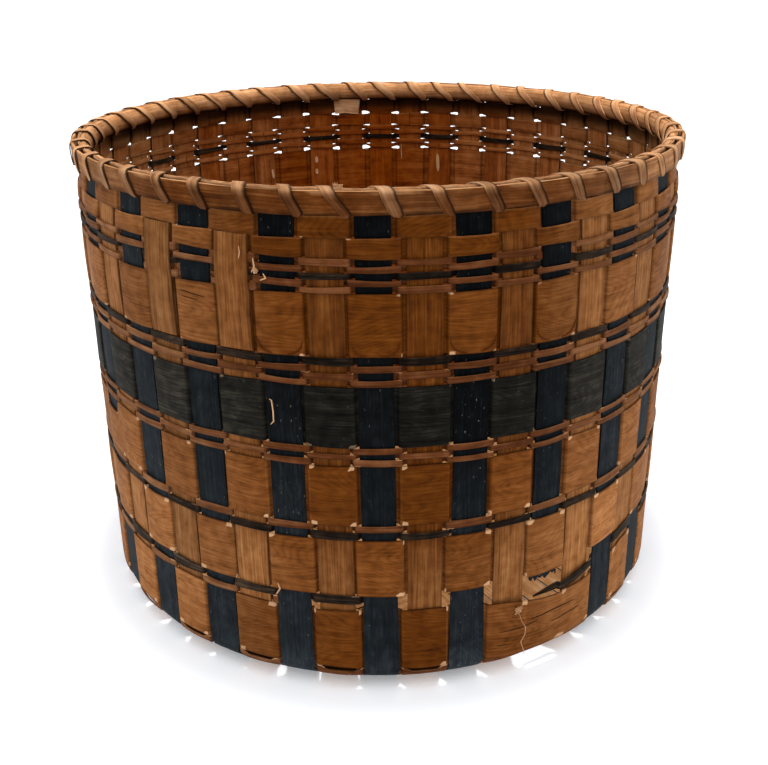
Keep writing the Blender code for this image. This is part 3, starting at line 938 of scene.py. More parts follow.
@dataclass
class BaseSplints:
    """The long splints that cross in the base and stand up as stakes."""

    shop: Shop
    thickness: float = 0.0008
    width: float = 0.0186
    pitch: float = 0.0192
    stack: float = 0.0011
    lengthwise: int = 13
    crosswise: int = 11
    turn: int = 4
    broken: int = 4
    dent: float = 0.0003
    top_drop: float = 0.0035
    columns: int = 7
    torn_columns: int = 15
    wall_rows: int = 116
    torn_rows: int = 100
    bend_rows: int = 22
    stub_rows: int = 6
    patch_rows: int = 40
    torn_seed: int = 88
    patch_seed: int = 91
    wide_rows: tuple[WeaverRow, ...] = field(default_factory=tuple)

    def dents(self, stake: int, height: np.ndarray) -> np.ndarray:
        """How far a stake gives way to the wide weavers that press on it.

        Args:
            stake: The stake's number.
            height: Heights on it.

        Returns:
            The distance outwards at each height.
        """
        out = np.zeros_like(height)
        for row in self.wide_rows:
            low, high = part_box(row.node)
            share = np.clip((height - low.z) / (high.z - low.z), 0.0, 1.0)
            side = 1.0 if stake % 2 == row.cover.value else -1.0
            out = out - side * self.dent * np.sin(share * math.pi)
        return out

    def wall_part(self, stake: int, height: np.ndarray, across: np.ndarray) -> np.ndarray:
        """A stake's middle surface in the wall.

        Args:
            stake: The stake's number.
            height: Heights, along the rows.
            across: Place across the stake from -1 to 1, along the columns.

        Returns:
            The points.
        """
        wall = self.shop.wall
        height, across = np.broadcast_arrays(height[None, :], across[:, None])
        radius = wall.radius(height)
        number = stake % STAKES
        wide = 1.0 + 0.02 * chance(Draw.STAKE_WIDTH)[number]
        wide = wide + 0.012 * np.sin(height * 60.0 + stake)
        bow = -0.12 * MM * across ** 2 * (1.0 + chance(Draw.STAKE_BOW)[number])
        shift = across * wall.girth(height) / 2.0 * wide / (radius * STEP)
        sway = wall.sway(np.asarray(float(stake)), height)
        out = self.dents(stake, height) + bow
        return wall.place(radius + out, stake + shift + sway, height)

    def foot_part(self, offset: float, order: float, base_turn: float, start: float,
                  lift: float, across: np.ndarray) -> np.ndarray:
        """A splint's middle surface from its last crossing to the wall's foot.

        Args:
            offset: The splint's distance from the middle of the base.
            order: Its stake, counted from the middle one.
            base_turn: The middle stake's place, in stake steps.
            start: Where the crossings end.
            lift: How high the last crossing is.
            across: Place across the splint from -1 to 1.

        Returns:
            The points.
        """
        wall = self.shop.wall
        share = np.arange(1, self.bend_rows + 1)[None, :] / self.bend_rows
        length = wall.flat + wall.bend_length
        run = start + (length - start) * share
        bend = (run - wall.flat) / wall.bend_length
        side = across[:, None] * (np.interp(bend, *BEND_WIDTHS) * MM) / 2.0
        if abs(order) == self.lengthwise // 2:
            spill = np.maximum(np.sign(order) * across[:, None], 0.0) * SPILL
            side = side + np.sign(order) * spill * np.interp(bend, *SPILL_SHARE)
        begin = np.stack((np.full_like(side, start), offset + side), axis=-1)
        foot_turn = order * STEP + side / wall.foot
        outward = np.stack((np.cos(foot_turn), np.sin(foot_turn)), axis=-1)
        end = outward * length
        pull = np.linalg.norm(end - begin, axis=-1, keepdims=True)
        s = share[..., None]
        leave = np.array((1.0, 0.0)) * pull * (s ** 3 - 2 * s ** 2 + s)
        arrive = outward * pull * (s ** 3 - s ** 2)
        flat = begin * (2 * s ** 3 - 3 * s ** 2 + 1) + leave
        flat = flat + end * (3 * s ** 2 - 2 * s ** 3) + arrive
        reach = np.hypot(flat[..., 0], flat[..., 1])
        stake = base_turn + np.arctan2(flat[..., 1], flat[..., 0]) / STEP
        stake = stake + wall.sway(stake, np.zeros_like(stake)) * ease(0.5, 1.0, bend)
        turn = math.pi / 2.0 * np.clip((reach - wall.flat) / wall.bend_length, 0.0, 1.0)
        rise = lift * (1.0 - share)
        radius = np.minimum(reach, wall.flat) + (wall.bend_reach - rise) * np.sin(turn)
        height = wall.base_level + wall.bend_rise * (1.0 - np.cos(turn)) + rise * np.cos(turn)
        return wall.place(radius, stake, height)

    def crossing_part(self, offset: float, order: int, base_turn: float, others: int,
                      woven: bool, across: np.ndarray) -> np.ndarray:
        """A splint's middle surface across the base.

        Args:
            offset: The splint's distance from the middle of the base.
            order: Its number, counted from the middle one.
            base_turn: The middle stake's place, in stake steps.
            others: How many splints it crosses.
            woven: Whether it goes over and under them.
            across: Place across the splint from -1 to 1.

        Returns:
            The points.
        """
        wall = self.shop.wall
        marks = np.array((-0.482, -0.44, -0.2, 0.0, 0.2, 0.44, 0.482))
        middle = others // 2
        place = (np.arange(others)[:, None] - middle + marks[None, :]).ravel()
        nearest = np.rint(place)
        rise = np.clip((0.5 - np.abs(place - nearest)) / 0.018, 0.0, 1.0)
        sign = np.where(np.mod(nearest + order, 2) == 0, -1.0, 1.0)
        lift = self.stack * sign * rise * (2.0 - rise) if woven else np.zeros_like(place)
        x = np.broadcast_to((place * self.pitch)[None, :], (len(across), len(place)))
        y = np.broadcast_to((offset + across * self.width / 2.0)[:, None], x.shape)
        stake = base_turn + np.arctan2(y, x) / STEP
        return wall.place(np.hypot(x, y), stake, wall.base_level + lift[None, :])

    def lay(self, name: str, node: str, points: np.ndarray, across: np.ndarray, dyed: bool,
            seed: int) -> None:
        """Dress one splint and hand it over.

        Args:
            name: The piece's name.
            node: The node that it stands for.
            points: Its middle surface.
            across: Place across the splint from -1 to 1.
            dyed: Whether its outside is dyed.
            seed: Picks its chances.
        """
        steps = np.linalg.norm(np.diff(points[len(across) // 2], axis=0), axis=-1)
        length = np.concatenate(([0.0], np.cumsum(steps)))
        side = across[:, None]
        along = length[None, :] + 5.3 * seed
        aside = side * self.width / 2.0 + 0.17 * seed
        grain = np.stack(np.broadcast_arrays(along, aside), axis=-1)
        height = points[..., 2]
        upright = ease(0.012, 0.03, height)
        stake = np.mod(stakes_at(points), STAKES)
        luck = chance(Draw.SPLINT + seed, 8)
        light = 1.0 + 0.06 * luck[0] + 0.05 * np.sin(height * 45.0 + 9.0 * luck[1]) * luck[2]
        for number, share in SHADES:
            light = np.where(np.rint(round_front(stake)) == number, light * share, light)
        edge = np.abs(side) ** 8
        wear = 0.12 * edge + 0.1 * ease(0.03, 0.008, height)
        # Painted shade along the stakes' edges, and the painted shadow under the rim.
        stain_and_shade = 0.3 * edge * upright + self.shop.under_rim_shadow(stake, height)
        if dyed:
            # Paler low near the front and at the sides: faded dye, painted bounce light and sheen.
            bleach_and_light = np.interp(height, *INDIGO_BOUNCE_AND_BLEACH)
            bleach_and_light = bleach_and_light * ease(16.0, 8.0, np.abs(round_front(stake)))
            bleach_and_light = bleach_and_light + 0.8 * self.shop.side_fade_and_light(stake)
            bleach_and_light = np.maximum(bleach_and_light + 0.06 * luck[3], 0.0)
            stain_and_shade = stain_and_shade * 0.5
        else:
            bleach_and_light = self.shop.bleaching_and_light(stake, height) + 0.05 + 0.05 * luck[3]
            # Paler still low down: partly paler wood, partly painted floor-bounce light.
            bleach_and_light = bleach_and_light + np.interp(height, *STAKE_BOUNCE_AND_BLEACH)
            # Painted shade on the plain stakes in the narrow slot 13 to 16 mm up the wall.
            stain_and_shade = stain_and_shade + 1.2 * ease(0.0115, 0.0128, height) * ease(0.0172, 0.016, height)
        bleach_and_light = np.minimum(bleach_and_light, MOST_BLEACH_AND_LIGHT) * upright + (1.0 - upright)
        tone = self.shop.tones(height.shape, light, wear, stain_and_shade, bleach_and_light)
        paint = self.shop.paint
        faces = (paint[Tint.INDIGO if dyed else Tint.STAKE], paint[Tint.INNER])
        piece = lay_strip(name, points, grain, tone, self.thickness, faces)
        self.shop.hand_over(piece, "dyed_splint" if dyed else "plain_splint", node)

    def make(self) -> None:
        """Lay both sets of splints."""
        wall = self.shop.wall
        across = np.linspace(-1.0, 1.0, self.columns)
        height = np.linspace(wall.foot_level, wall.rim_top - self.top_drop, self.wall_rows)[1:]
        counts = {True: 0, False: 0}
        sets = ((self.lengthwise, self.crosswise, self.turn, False),
                (self.crosswise, self.lengthwise, self.turn + STAKES // 4, True))
        for count, others, middle, woven in sets:
            for order in range(-(count // 2), count // 2 + 1):
                stake = middle + order
                dyed = stake % 2 == 0
                counts[dyed] += 1
                node = "%s_stake_splint_%d" % ("dyed" if dyed else "plain", counts[dyed])
                offset = order * self.pitch
                start = (others // 2 + 0.482) * self.pitch
                end_sign = -1.0 if (others // 2 + order) % 2 == 0 else 1.0
                lift = self.stack * end_sign if woven else 0.0
                crossing = self.crossing_part(offset, order, middle, others, woven, across)
                front = self.foot_part(offset, order, middle, start, lift, across)
                back = self.foot_part(-offset, -order, middle + STAKES / 2, start, lift, across)
                upper = self.wall_part(stake, height, across)
                far = middle + STAKES // 2 - order
                rear = np.concatenate((back, self.wall_part(far, height, across)), axis=1)
                rear = rear[::-1, ::-1]
                whole = (rear, crossing, front, upper)
                if stake == self.broken:
                    node += "_broken"
                    stub = front[:, :self.stub_rows].copy()
                    teeth = 0.9 * chance(Draw.TORN_STUB, len(across))
                    stub[:, -1] += (stub[:, -1] - stub[:, -2]) * teeth[:, None]
                    whole = (rear, crossing, stub)
                    self.broken_top(node + "_top", stake)
                points = np.concatenate(whole, axis=1)
                self.lay(node + "_laid", node, points, across, dyed, middle + order)

    def broken_top(self, node: str, stake: int) -> None:
        """The upper end of the broken stake, with its torn lower edge.

        Args:
            node: The node that it stands for.
            stake: The stake's number.
        """
        wall = self.shop.wall
        across = np.linspace(-1.0, 1.0, self.torn_columns)
        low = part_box(node)[0].z
        height = np.linspace(low, wall.rim_top - self.top_drop, self.torn_rows)
        points = self.wall_part(stake, height, across)
        teeth = (0.9 * chance(Draw.TORN_TOP, self.torn_columns) - 4.2) * MM
        fade = 1.0 - ease(0.0, TORN_BLEND, height - low)
        points[..., 2] += teeth[:, None] * fade[None, :]
        self.lay(node + "_laid", node, points, across, True, self.torn_seed)

    def patches(self, places: dict[str, int]) -> None:
        """The splints laid over plain stakes.

        Args:
            places: Their nodes, each with the stake that it covers.
        """
        across = np.linspace(-1.0, 1.0, self.columns)
        for number, (node, stake) in enumerate(places.items()):
            low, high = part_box(node)
            height = np.linspace(low.z, high.z + 0.2 * MM, self.patch_rows)
            points = self.wall_part(stake, height, across)
            marks = (low.z, low.z + 0.03, high.z - 0.022, high.z)
            out = np.interp(height, marks, (1.5, 1.6, 2.15, 1.2))
            radial = points[..., :2] / np.linalg.norm(points[..., :2], axis=-1, keepdims=True)
            points[..., :2] += radial * out[None, :, None] * MM
            self.lay(node + "_laid", node, points, across, False, self.patch_seed + number)


@dataclass
class Rim:
    """The two hoops, the splints on edge between them and the lashing."""

    shop: Shop
    seat: float = 0.0007
    hoop: float = 0.0034
    inner_hoop: float = 0.0048
    corner: float = 0.0004
    wobble: float = 0.00025
    lash: float = 0.0006
    lash_width: float = 0.0066
    pass_width: float = 0.003
    flat_profile: tuple = ((0.0, 1.0), (0.35, 1.0), (0.85, 0.42), (1.0, 0.38))
    round_profile: tuple = ((0.0, 0.35), (0.1, 0.62), (0.25, 0.86), (0.5, 1.0), (0.72, 0.93),
                            (0.86, 0.78), (0.95, 0.6), (1.0, 0.42))
    filler_strips: tuple = ((-0.5, 0.9), (-0.1, 0.7), (0.35, 0.6), (1.1, -2.0), (1.8, -2.8))
    filler_thickness: float = 0.00022
    hidden_stations: int = 3

    def wrap_grain(self, piece: bpy.types.Object, seed: int) -> None:
        """Map the grain of a hoop round it and give it its tones.

        Args:
            piece: The hoop.
            seed: Picks its chances.
        """
        mesh, wall = piece.data, self.shop.wall
        co = read_points(mesh)
        corner = read_numbers(mesh.loops, "vertex_index")
        starts = read_numbers(mesh.polygons, "loop_start")
        sizes = read_numbers(mesh.polygons, "loop_total")
        turn = np.arctan2(co[:, 0], -co[:, 1])[corner]
        first = np.repeat(turn[starts], sizes)
        turn = turn - np.rint((turn - first) / (2.0 * math.pi)) * 2.0 * math.pi
        radius = np.hypot(co[:, 0], co[:, 1])[corner]
        grain = np.stack((turn * wall.neck + 2.9 * seed, co[corner, 2] + radius), axis=-1)
        layer = mesh.uv_layers[0] if mesh.uv_layers else mesh.uv_layers.new()
        layer.name = "grain"
        layer.data.foreach_set("uv", grain.ravel())
        stake = stakes_at(co)
        turn = np.abs(round_front(stake))
        behind = ease(8.0, 15.0, turn)
        share = (co[:, 2] - wall.hoop_foot) / (wall.rim_top - wall.hoop_foot)
        light = 1.0 + 0.08 * ripple(stake, Draw.HOOP_LIGHT + seed, (4, 9, 17, 31))
        # Lighter towards the sides: painted side light.
        light = light + 0.1 * ease(4.0, 8.0, turn)
        wear = 0.12 * np.clip(ripple(stake, Draw.HOOP_WEAR + seed, (7, 19, 37)), 0.0, 1.0)
        stain_and_shade = 0.25 * np.clip(ripple(stake, Draw.HOOP_STAIN + seed, (11, 23, 41)), 0.0, 1.0)
        bleach_and_light = 0.02 + 0.05 * ripple(stake, Draw.HOOP_BLEACH + seed)
        # Paler towards the sides and at the back: partly faded, partly painted light.
        bleach_and_light = bleach_and_light + 0.6 * ease(3.5, 8.5, turn) + 0.2 * behind
        # Painted shade along the foot and on the lower part at the back; painted light above it
        # there.
        stain_and_shade = stain_and_shade + 0.6 * ease(0.12, 0.02, share) + 0.4 * behind * ease(0.5, 0.0, share)
        light = light + 0.3 * behind * ease(0.3, 0.8, share)
        # Palest along the top: worn, and a painted highlight from above.
        bleach_and_light = np.maximum(bleach_and_light, ease(0.97, 0.99, share))
        tone = self.shop.tones(stake.shape, light, wear, stain_and_shade, bleach_and_light)
        mesh.attributes.new("tone", "FLOAT_COLOR", "POINT").data.foreach_set("color", tone.ravel())

    def bend_hoop(self, node: str, inner: float, deep: float, profile: tuple,
                  seed: int) -> None:
        """One hoop: a plane stood on edge, its corners rounded, spun round the wall.

        Args:
            node: The node that it stands for.
            inner: Its inner radius.
            deep: Its thickness.
            profile: The share of the thickness that is there at shares of its height.
            seed: Picks its chances.
        """
        low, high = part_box(node)
        set_down()
        centre = (inner + deep / 2.0, 0.0, (low.z + high.z) / 2.0)
        bpy.ops.mesh.primitive_plane_add(
            size=1.0, location=centre, rotation=(math.pi / 2.0, 0.0, 0.0))
        piece = bpy.context.object
        piece.scale = (deep, high.z - low.z, 1.0)
        bpy.ops.object.transform_apply(location=True, rotation=True, scale=True)
        piece.name = piece.data.name = node + "_bent"
        bpy.ops.object.mode_set(mode="EDIT")
        steps = (
            (bpy.ops.mesh.bevel, {"offset": self.corner, "segments": 2, "affect": "VERTICES"}),
            (bpy.ops.mesh.delete, {"type": "ONLY_FACE"}),
            (bpy.ops.mesh.subdivide, {"number_cuts": 4}),
            (bpy.ops.mesh.spin, {"steps": STAKES * 5, "angle": 2.0 * math.pi,
                                 "center": (0.0, 0.0, 0.0), "axis": (0.0, 0.0, 1.0)}),
            (bpy.ops.mesh.remove_doubles, {"threshold": 0.01 * MM}),
            (bpy.ops.mesh.normals_make_consistent, {"inside": False}),
        )
        for step, settings in steps:
            bpy.ops.mesh.select_all(action="SELECT")
            step(**settings)
        bpy.ops.object.mode_set(mode="OBJECT")
        co = read_points(piece.data)
        radius = np.hypot(co[:, 0], co[:, 1])
        places, depths = zip(*profile)
        kept = np.interp((co[:, 2] - low.z) / (high.z - low.z), places, depths)
        co[:, :2] *= ((inner + deep - (inner + deep - radius) * kept) / radius)[:, None]
        stake = stakes_at(co)
        co[:, 2] += self.wobble * ripple(stake, Draw.HOOP_RISE + seed, (5, 11, 24, 35))
        push = self.wobble * ripple(stake, Draw.HOOP_ROUND + seed, (3, 17, 29))
        co[:, :2] *= (1.0 + push / self.shop.wall.neck)[:, None]
        piece.data.vertices.foreach_set("co", co.ravel())
        piece.data.update()
        piece.data.materials.append(self.shop.paint[Tint.HOOP])
        self.wrap_grain(piece, seed)
        bpy.ops.object.shade_smooth_by_angle(angle=HOOP_SMOOTH)
        self.shop.hand_over(piece, "hoop_wood", node)

    def filler(self, node: str) -> None:
        """Thin splints on edge between the hoops, with uneven tops.

        Args:
            node: The node that they stand for.
        """
        wall = self.shop.wall
        low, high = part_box(node)
        pieces = []
        stake = np.arange(0, STAKES * 8 + 1)[:, None] / 8.0 + 0.5
        across = np.array((-1.0, 0.2, 0.8, 1.0))[None, :]
        stake, across = np.broadcast_arrays(stake, across)
        for number, (out, lift) in enumerate(self.filler_strips):
            waver = ripple(stake, Draw.FILLER_TOP + number, (7, 19, 37, 83))
            top = high.z + 0.28 * MM * waver + lift * MM
            height = low.z + (top - low.z) * (across + 1.0) / 2.0
            points = wall.place(wall.neck + out * MM, stake, height)
            grain = np.stack((stake * STEP * wall.neck, height + number), axis=-1)
            light = 1.25 + 0.12 * ripple(stake, Draw.FILLER_LIGHT + number, (13, 27, 43))
            # Painted shade on the lower parts, down between the hoops, and on the strips set
            # lower.
            stain_and_shade = 0.7 * ((across < 0.5) | (lift < 0.0))
            tone = self.shop.tones(stake.shape, light, 0.35, stain_and_shade, 1.0)
            faces = (self.shop.paint[Tint.LASH],)
            pieces.append(lay_strip(
                node + "_strip", points, grain, tone, self.filler_thickness, faces))
        self.shop.hand_over(join(pieces, node + "_edges"), "plain_splint", node)

    def lashing(self, node: str) -> None:
        """The lashing, one strip wound once through each gap between stakes.

        Args:
            node: The node that it stands for.
        """
        wall = self.shop.wall
        outer = wall.neck + self.seat + self.hoop
        inner = wall.neck - self.seat - self.inner_hoop
        foot, top = wall.hoop_foot, wall.rim_top
        gap = self.lash / 2.0 + 0.2 * MM
        path = np.array([
            (-0.02, outer + 0.4 * gap, foot - gap, 0.1),
            (0.0, wall.neck, foot - gap, 0.0),
            (0.04, inner + 2.0 * MM, foot - gap, 0.1),
            (0.07, inner + 0.8 * MM, foot + 0.6 * MM, 0.5),
            (0.15, inner - gap - 0.1 * MM, foot + 3.0 * MM, 1.2),
            (0.3, inner - gap - 0.4 * MM, foot + 6.0 * MM, 1.4),
            (0.44, inner - gap + 0.2 * MM, top - 2.6 * MM, 1.4),
            (0.52, inner + 0.6 * MM, top - 0.7 * MM, 1.2),
            (0.58, inner + 2.0 * MM, top + gap, 1.05),
            (0.66, wall.neck, top + gap + 0.35 * MM, 1.0),
            (0.71, outer - 1.0 * MM, top + gap + 0.1 * MM, 1.0),
            (0.74, outer + 0.2 * MM, top - 0.1 * MM, 1.0),
            (0.76, outer + gap + 0.4 * MM, top - 1.5 * MM, 0.96),
            (0.8, outer + gap + 0.6 * MM, top - 3.6 * MM, 0.95),
            (0.86, outer + gap + 0.5 * MM, top - 6.0 * MM, 0.93),
            (0.92, outer + gap + 0.3 * MM, foot + 2.6 * MM, 0.9),
            (0.96, outer + gap, foot + 0.8 * MM, 0.7)])
        stations = len(path)
        wraps = np.arange(STAKES)[:, None] + STAKES // 2
        luck = chance(Draw.WRAP_PLACE)[:, None]
        slant = chance(Draw.WRAP_SLANT)[:, None]
        centre = (wraps + 0.5 + path[None, :, 0] + 0.03 * luck
                  + 0.06 * slant * (path[None, :, 2] - foot) / (top - foot)).ravel()
        radius = np.tile(path[:, 1], STAKES)
        height = np.tile(path[:, 2], STAKES)
        widths = self.lash_width * (1.0 + 0.12 * np.repeat(chance(Draw.WRAP_WIDTH), stations))
        width = self.pass_width + (widths - self.pass_width) * np.tile(path[:, 3], STAKES)
        across = np.array((-1.0, -0.5, 0.0, 0.5, 0.88, 1.0))[None, :]
        stake = centre[:, None] + across * width[:, None] / 2.0 / radius[:, None] / STEP
        points = wall.place(radius[:, None], stake, height[:, None])
        steps = np.linalg.norm(np.diff(points[:, 2], axis=0), axis=-1)
        length = np.concatenate(([0.0], np.cumsum(steps)))
        aside = across * width[:, None] / 2.0
        grain = np.stack(np.broadcast_arrays(length[:, None], aside), axis=-1)
        light = 1.0 + 0.12 * np.repeat(chance(Draw.WRAP_LIGHT), stations)[:, None]
        bleach_and_light = 0.06 + 0.08 * np.repeat(chance(Draw.WRAP_BLEACH), stations)[:, None]
        turn = np.abs(round_front(stake))
        behind = ease(8.0, 15.0, turn)
        # Paler towards the sides and at the back: partly faded, partly painted light.
        bleach_and_light = bleach_and_light + 0.7 * ease(2.5, 8.0, turn) + 0.1 * behind
        # Palest at the top: worn, and a painted highlight from above.
        bleach_and_light = bleach_and_light + (0.95 - bleach_and_light) * ease(-2.4 * MM, 0.0, height - top)[:, None]
        rise = ((height - foot) / (top - foot))[:, None]
        # Painted light: lighter on the upper part at the back and towards the sides.
        light = light + 0.3 * behind * ease(0.3, 0.8, rise) + 0.36 * ease(4.5, 9.0, turn)
        light = light - 0.26
        # Painted shadow along each wrap's right edge and on its lower part at the back.
        stain_and_shade = 0.05 + 0.85 * (across > 0.85) + 0.4 * behind * ease(0.5, 0.0, rise)
        tone = self.shop.tones(stake.shape, light, 0.0, stain_and_shade, bleach_and_light)
        kept = slice(None, -self.hidden_stations)
        faces = (self.shop.paint[Tint.LASH],)
        piece = lay_strip(
            node + "_wound", points[kept], grain[kept], tone[kept], self.lash, faces)
        self.shop.hand_over(piece, "lashing_splint", node)

    def make(self) -> None:
        """Build the whole rim."""
        outside = self.shop.wall.neck + self.seat
        inside = self.shop.wall.neck - self.seat - self.inner_hoop
        self.bend_hoop("outer_rim_hoop", outside, self.hoop, self.flat_profile, 1)
        self.bend_hoop("inner_rim_hoop", inside, self.inner_hoop, self.round_profile, 2)
        self.filler("rim_filler")
        self.lashing("rim_lashing")


@dataclass
class LooseFibres:
    """Threads, splinters, cracks and worn spots that lie on the woven wall."""

    shop: Shop
    thickness: float = 0.00015
    flake: float = 5.0

    def strand(self, path: tuple, width: float, tint: Tint,
               blunt: float = 0.25) -> bpy.types.Object:
        """A thin ribbon along a path on the wall, narrowing at both ends.

        Args:
            path: Places as stake, height and distance outside the stakes, in millimetres.
            width: Its width in millimetres.
            tint: Its finish.
            blunt: How wide its ends stay.

        Returns:
            The ribbon.
        """
        marks = np.array(path, float)
        share = np.linspace(0.0, 1.0, 8 * (len(marks) - 1) + 1)
        steps = np.linspace(0.0, 1.0, len(marks))
        stake, height, out = (np.interp(share, steps, marks[:, part]) for part in range(3))
        middle = self.shop.wall.point(stake, height * MM, out * MM)
        along = np.gradient(middle, axis=0)
        outward = middle * np.array((1.0, 1.0, 0.0))
        side = np.cross(along, outward)
        side = side / np.linalg.norm(side, axis=-1, keepdims=True)
        half = width * MM / 2.0 * (blunt + (1.0 - blunt) * np.sin(share * math.pi) ** 0.5)
        aside = half[:, None] * np.linspace(-1.0, 1.0, 3)[None, :]
        points = middle[:, None] + side[:, None] * aside[..., None]
        length = np.linalg.norm(along, axis=-1).cumsum()
        grain = np.stack(np.broadcast_arrays(length[:, None] + marks[0, 0], aside), axis=-1)
        tone = self.shop.tones(grain.shape[:2])
        return lay_strip("strand", points, grain, tone, self.thickness, (self.shop.paint[tint],))

    def tuft(self, stake: float, height: float, out: float, reach: float, count: int,
             seed: int) -> list[bpy.types.Object]:
        """A tangle of short curled threads.

        Args:
            stake: Where it sits round the wall.
            height: Its height in millimetres.
            out: Its distance outside the stakes in millimetres.
            reach: Its half length in millimetres.
            count: How many threads.
            seed: Picks its chances.

        Returns:
            The threads.
        """
        draw = np.random.default_rng(seed)
        threads = []
        for _ in range(count):
            bend = draw.uniform(-1.0, 1.0, (5, 3))
            path = [(stake + part[0] * reach * MM / self.shop.wall.neck / STEP,
                     height + part[1] * reach, out + abs(part[2]) * 0.5 * reach) for part in bend]
            threads.append(self.strand(tuple(path), 0.22, Tint.FIBRE, 0.8))
        return threads

    def make(self) -> None:
        """Lay every thread, splinter, crack and spot."""
        threads = []
        for width, path in THREADS:
            blunt = 1.0 if width > self.flake else 0.25
            threads.append(self.strand(path, width, Tint.FIBRE, blunt))
        for tuft in TUFTS:
            threads += self.tuft(*tuft)
        self.shop.hand_over(join(threads, "loose_fibres"), "plain_splint")
        cracks = [self.strand(path, width, Tint.SOOT, 0.1) for width, path in CRACKS]
        self.shop.hand_over(join(cracks, "splint_cracks"), "plain_splint")
        marks = []
        for stake in WATERMARK_STAKES:
            for side in (-1.0, 1.0):
                path = tuple((stake + side * aside, height, 1.95) for aside, height in WATERMARK)
                marks.append(self.strand(path, 0.7, Tint.WATERMARK))
        self.shop.hand_over(join(marks, "watermarks"), "plain_splint")


@dataclass
class Studio:
    """The pale floor, the soft lamps and the camera."""

    eye: tuple[float, float, float] = (0.0064, -0.6254, 0.3851)
    aim: tuple[float, float, float] = (0.0022, 0.0, 0.1076)
    lens: float = 47.59
    roll: float = -0.0106
    zenith: float = 1.3
    horizon: float = 0.2
    sky_rise: tuple[float, float] = (0.05, 0.6)
    floor_size: float = 30.0
    floor_colour: tuple[float, float, float, float] = (0.88, 0.905, 0.945, 1.0)
    floor_glow: float = 0.17

    def camera(self) -> None:
        """Stand the camera at the photograph's viewpoint."""
        data = bpy.data.cameras.new("camera")
        data.lens = self.lens
        data.sensor_width = 36.0
        data.clip_start = 0.01
        camera = bpy.data.objects.new("camera", data)
        bpy.context.scene.collection.objects.link(camera)
        eye, aim = Vector(self.eye), Vector(self.aim)
        turn = (aim - eye).to_track_quat("-Z", "Y").to_matrix().to_4x4()
        camera.matrix_world = turn
        camera.location = eye
        camera.rotation_euler.rotate_axis("Z", self.roll)
        bpy.context.scene.camera = camera

    def lamp(self, name: str, azimuth: float, elevation: float, strength: float,
             softness: float) -> None:
        """A far soft lamp.

        Args:
            name: The lamp's name.
            azimuth: Degrees from the front towards the right.
            elevation: Degrees above the floor.
            strength: Its strength.
            softness: Degrees across, as seen from the object.
        """
        data = bpy.data.lights.new(name, "SUN")
        data.energy = strength
        data.angle = math.radians(softness)
        lamp = bpy.data.objects.new(name, data)
        bpy.context.scene.collection.objects.link(lamp)
        turn, rise = math.radians(azimuth), math.radians(elevation)
        level = math.cos(rise)
        towards = Vector((math.sin(turn) * level, -math.cos(turn) * level, math.sin(rise)))
        lamp.rotation_euler = towards.to_track_quat("Z", "Y").to_euler()

    def softbox(self, height: float, radius: float, strength: float) -> None:
        """The round lamp straight above.

        Args:
            height: Its height.
            radius: Its radius.
            strength: The light that it throws on the rim, as a far lamp's strength.
        """
        data = bpy.data.lights.new("softbox", "AREA")
        data.shape = "DISK"
        data.size = 2.0 * radius
        data.energy = strength * math.pi * (height - CAD_HIGH.z) ** 2
        lamp = bpy.data.objects.new("softbox", data)
        bpy.context.scene.collection.objects.link(lamp)
        lamp.location = (0.0, 0.0, height)

    def floor(self) -> None:
        """A wide pale floor that keeps the shadow and meets the background."""
        set_down()
        bpy.ops.mesh.primitive_plane_add(size=self.floor_size, location=(0.0, 0.0, -0.1 * MM))
        floor = bpy.context.object
        floor.name = "floor"
        bench = Bench("pale_floor")
        bench.feed(bench.shader, {
            "Base Color": self.floor_colour, "Roughness": 0.9, "Specular IOR Level": 0.1})
        path = bench.add("LightPath", {})
        seen = bench.sum("MAXIMUM", path.outputs["Is Camera Ray"], path.outputs["Is Glossy Ray"])
        seen = bench.sum("MAXIMUM", seen, path.outputs["Is Transmission Ray"])
        glow = bench.sum("MULTIPLY", seen, self.floor_glow)
        bench.feed(bench.shader, {
            "Emission Color": (1.0, 1.0, 1.0, 1.0), "Emission Strength": glow})
        floor.data.materials.append(bench.material)

    def world(self) -> None:
        """An even light all round, seen as white behind the object."""
        world = bpy.data.worlds.new("soft_room")
        bpy.context.scene.world = world
        world.use_nodes = True
        nodes, links = world.node_tree.nodes, world.node_tree.links
        shown = nodes["Background"]
        shown.inputs["Color"].default_value = (1.0, 1.0, 1.0, 1.0)
        path = nodes.new("ShaderNodeLightPath")
        most = path.outputs["Is Camera Ray"]
        for name in ("Is Glossy Ray", "Is Transmission Ray"):
            larger = nodes.new("ShaderNodeMath")
            larger.operation = "MAXIMUM"
            links.new(most, larger.inputs[0])
            links.new(path.outputs[name], larger.inputs[1])
            most = larger.outputs[0]
        way = nodes.new("ShaderNodeTexCoord")
        parts = nodes.new("ShaderNodeSeparateXYZ")
        links.new(way.outputs["Generated"], parts.inputs[0])
        rise = nodes.new("ShaderNodeMapRange")
        rise.interpolation_type = "SMOOTHSTEP"
        links.new(parts.outputs["Z"], rise.inputs["Value"])
        limits = (*self.sky_rise, self.horizon, self.zenith)
        for name, value in zip(("From Min", "From Max", "To Min", "To Max"), limits):
            rise.inputs[name].default_value = value
        strength = nodes.new("ShaderNodeMapRange")
        links.new(most, strength.inputs["Value"])
        links.new(rise.outputs[0], strength.inputs["To Min"])
        strength.inputs["To Max"].default_value = 1.0
        links.new(strength.outputs[0], shown.inputs["Strength"])

    def set_up(self) -> None:
        """Set up the whole studio."""
        self.floor()
        self.world()
        self.softbox(height=2.0, radius=0.14, strength=1.8)
        self.lamp("front_fill", azimuth=0.0, elevation=50.0, strength=0.3, softness=60.0)
        self.camera()
        bpy.context.scene.view_settings.view_transform = "Standard"


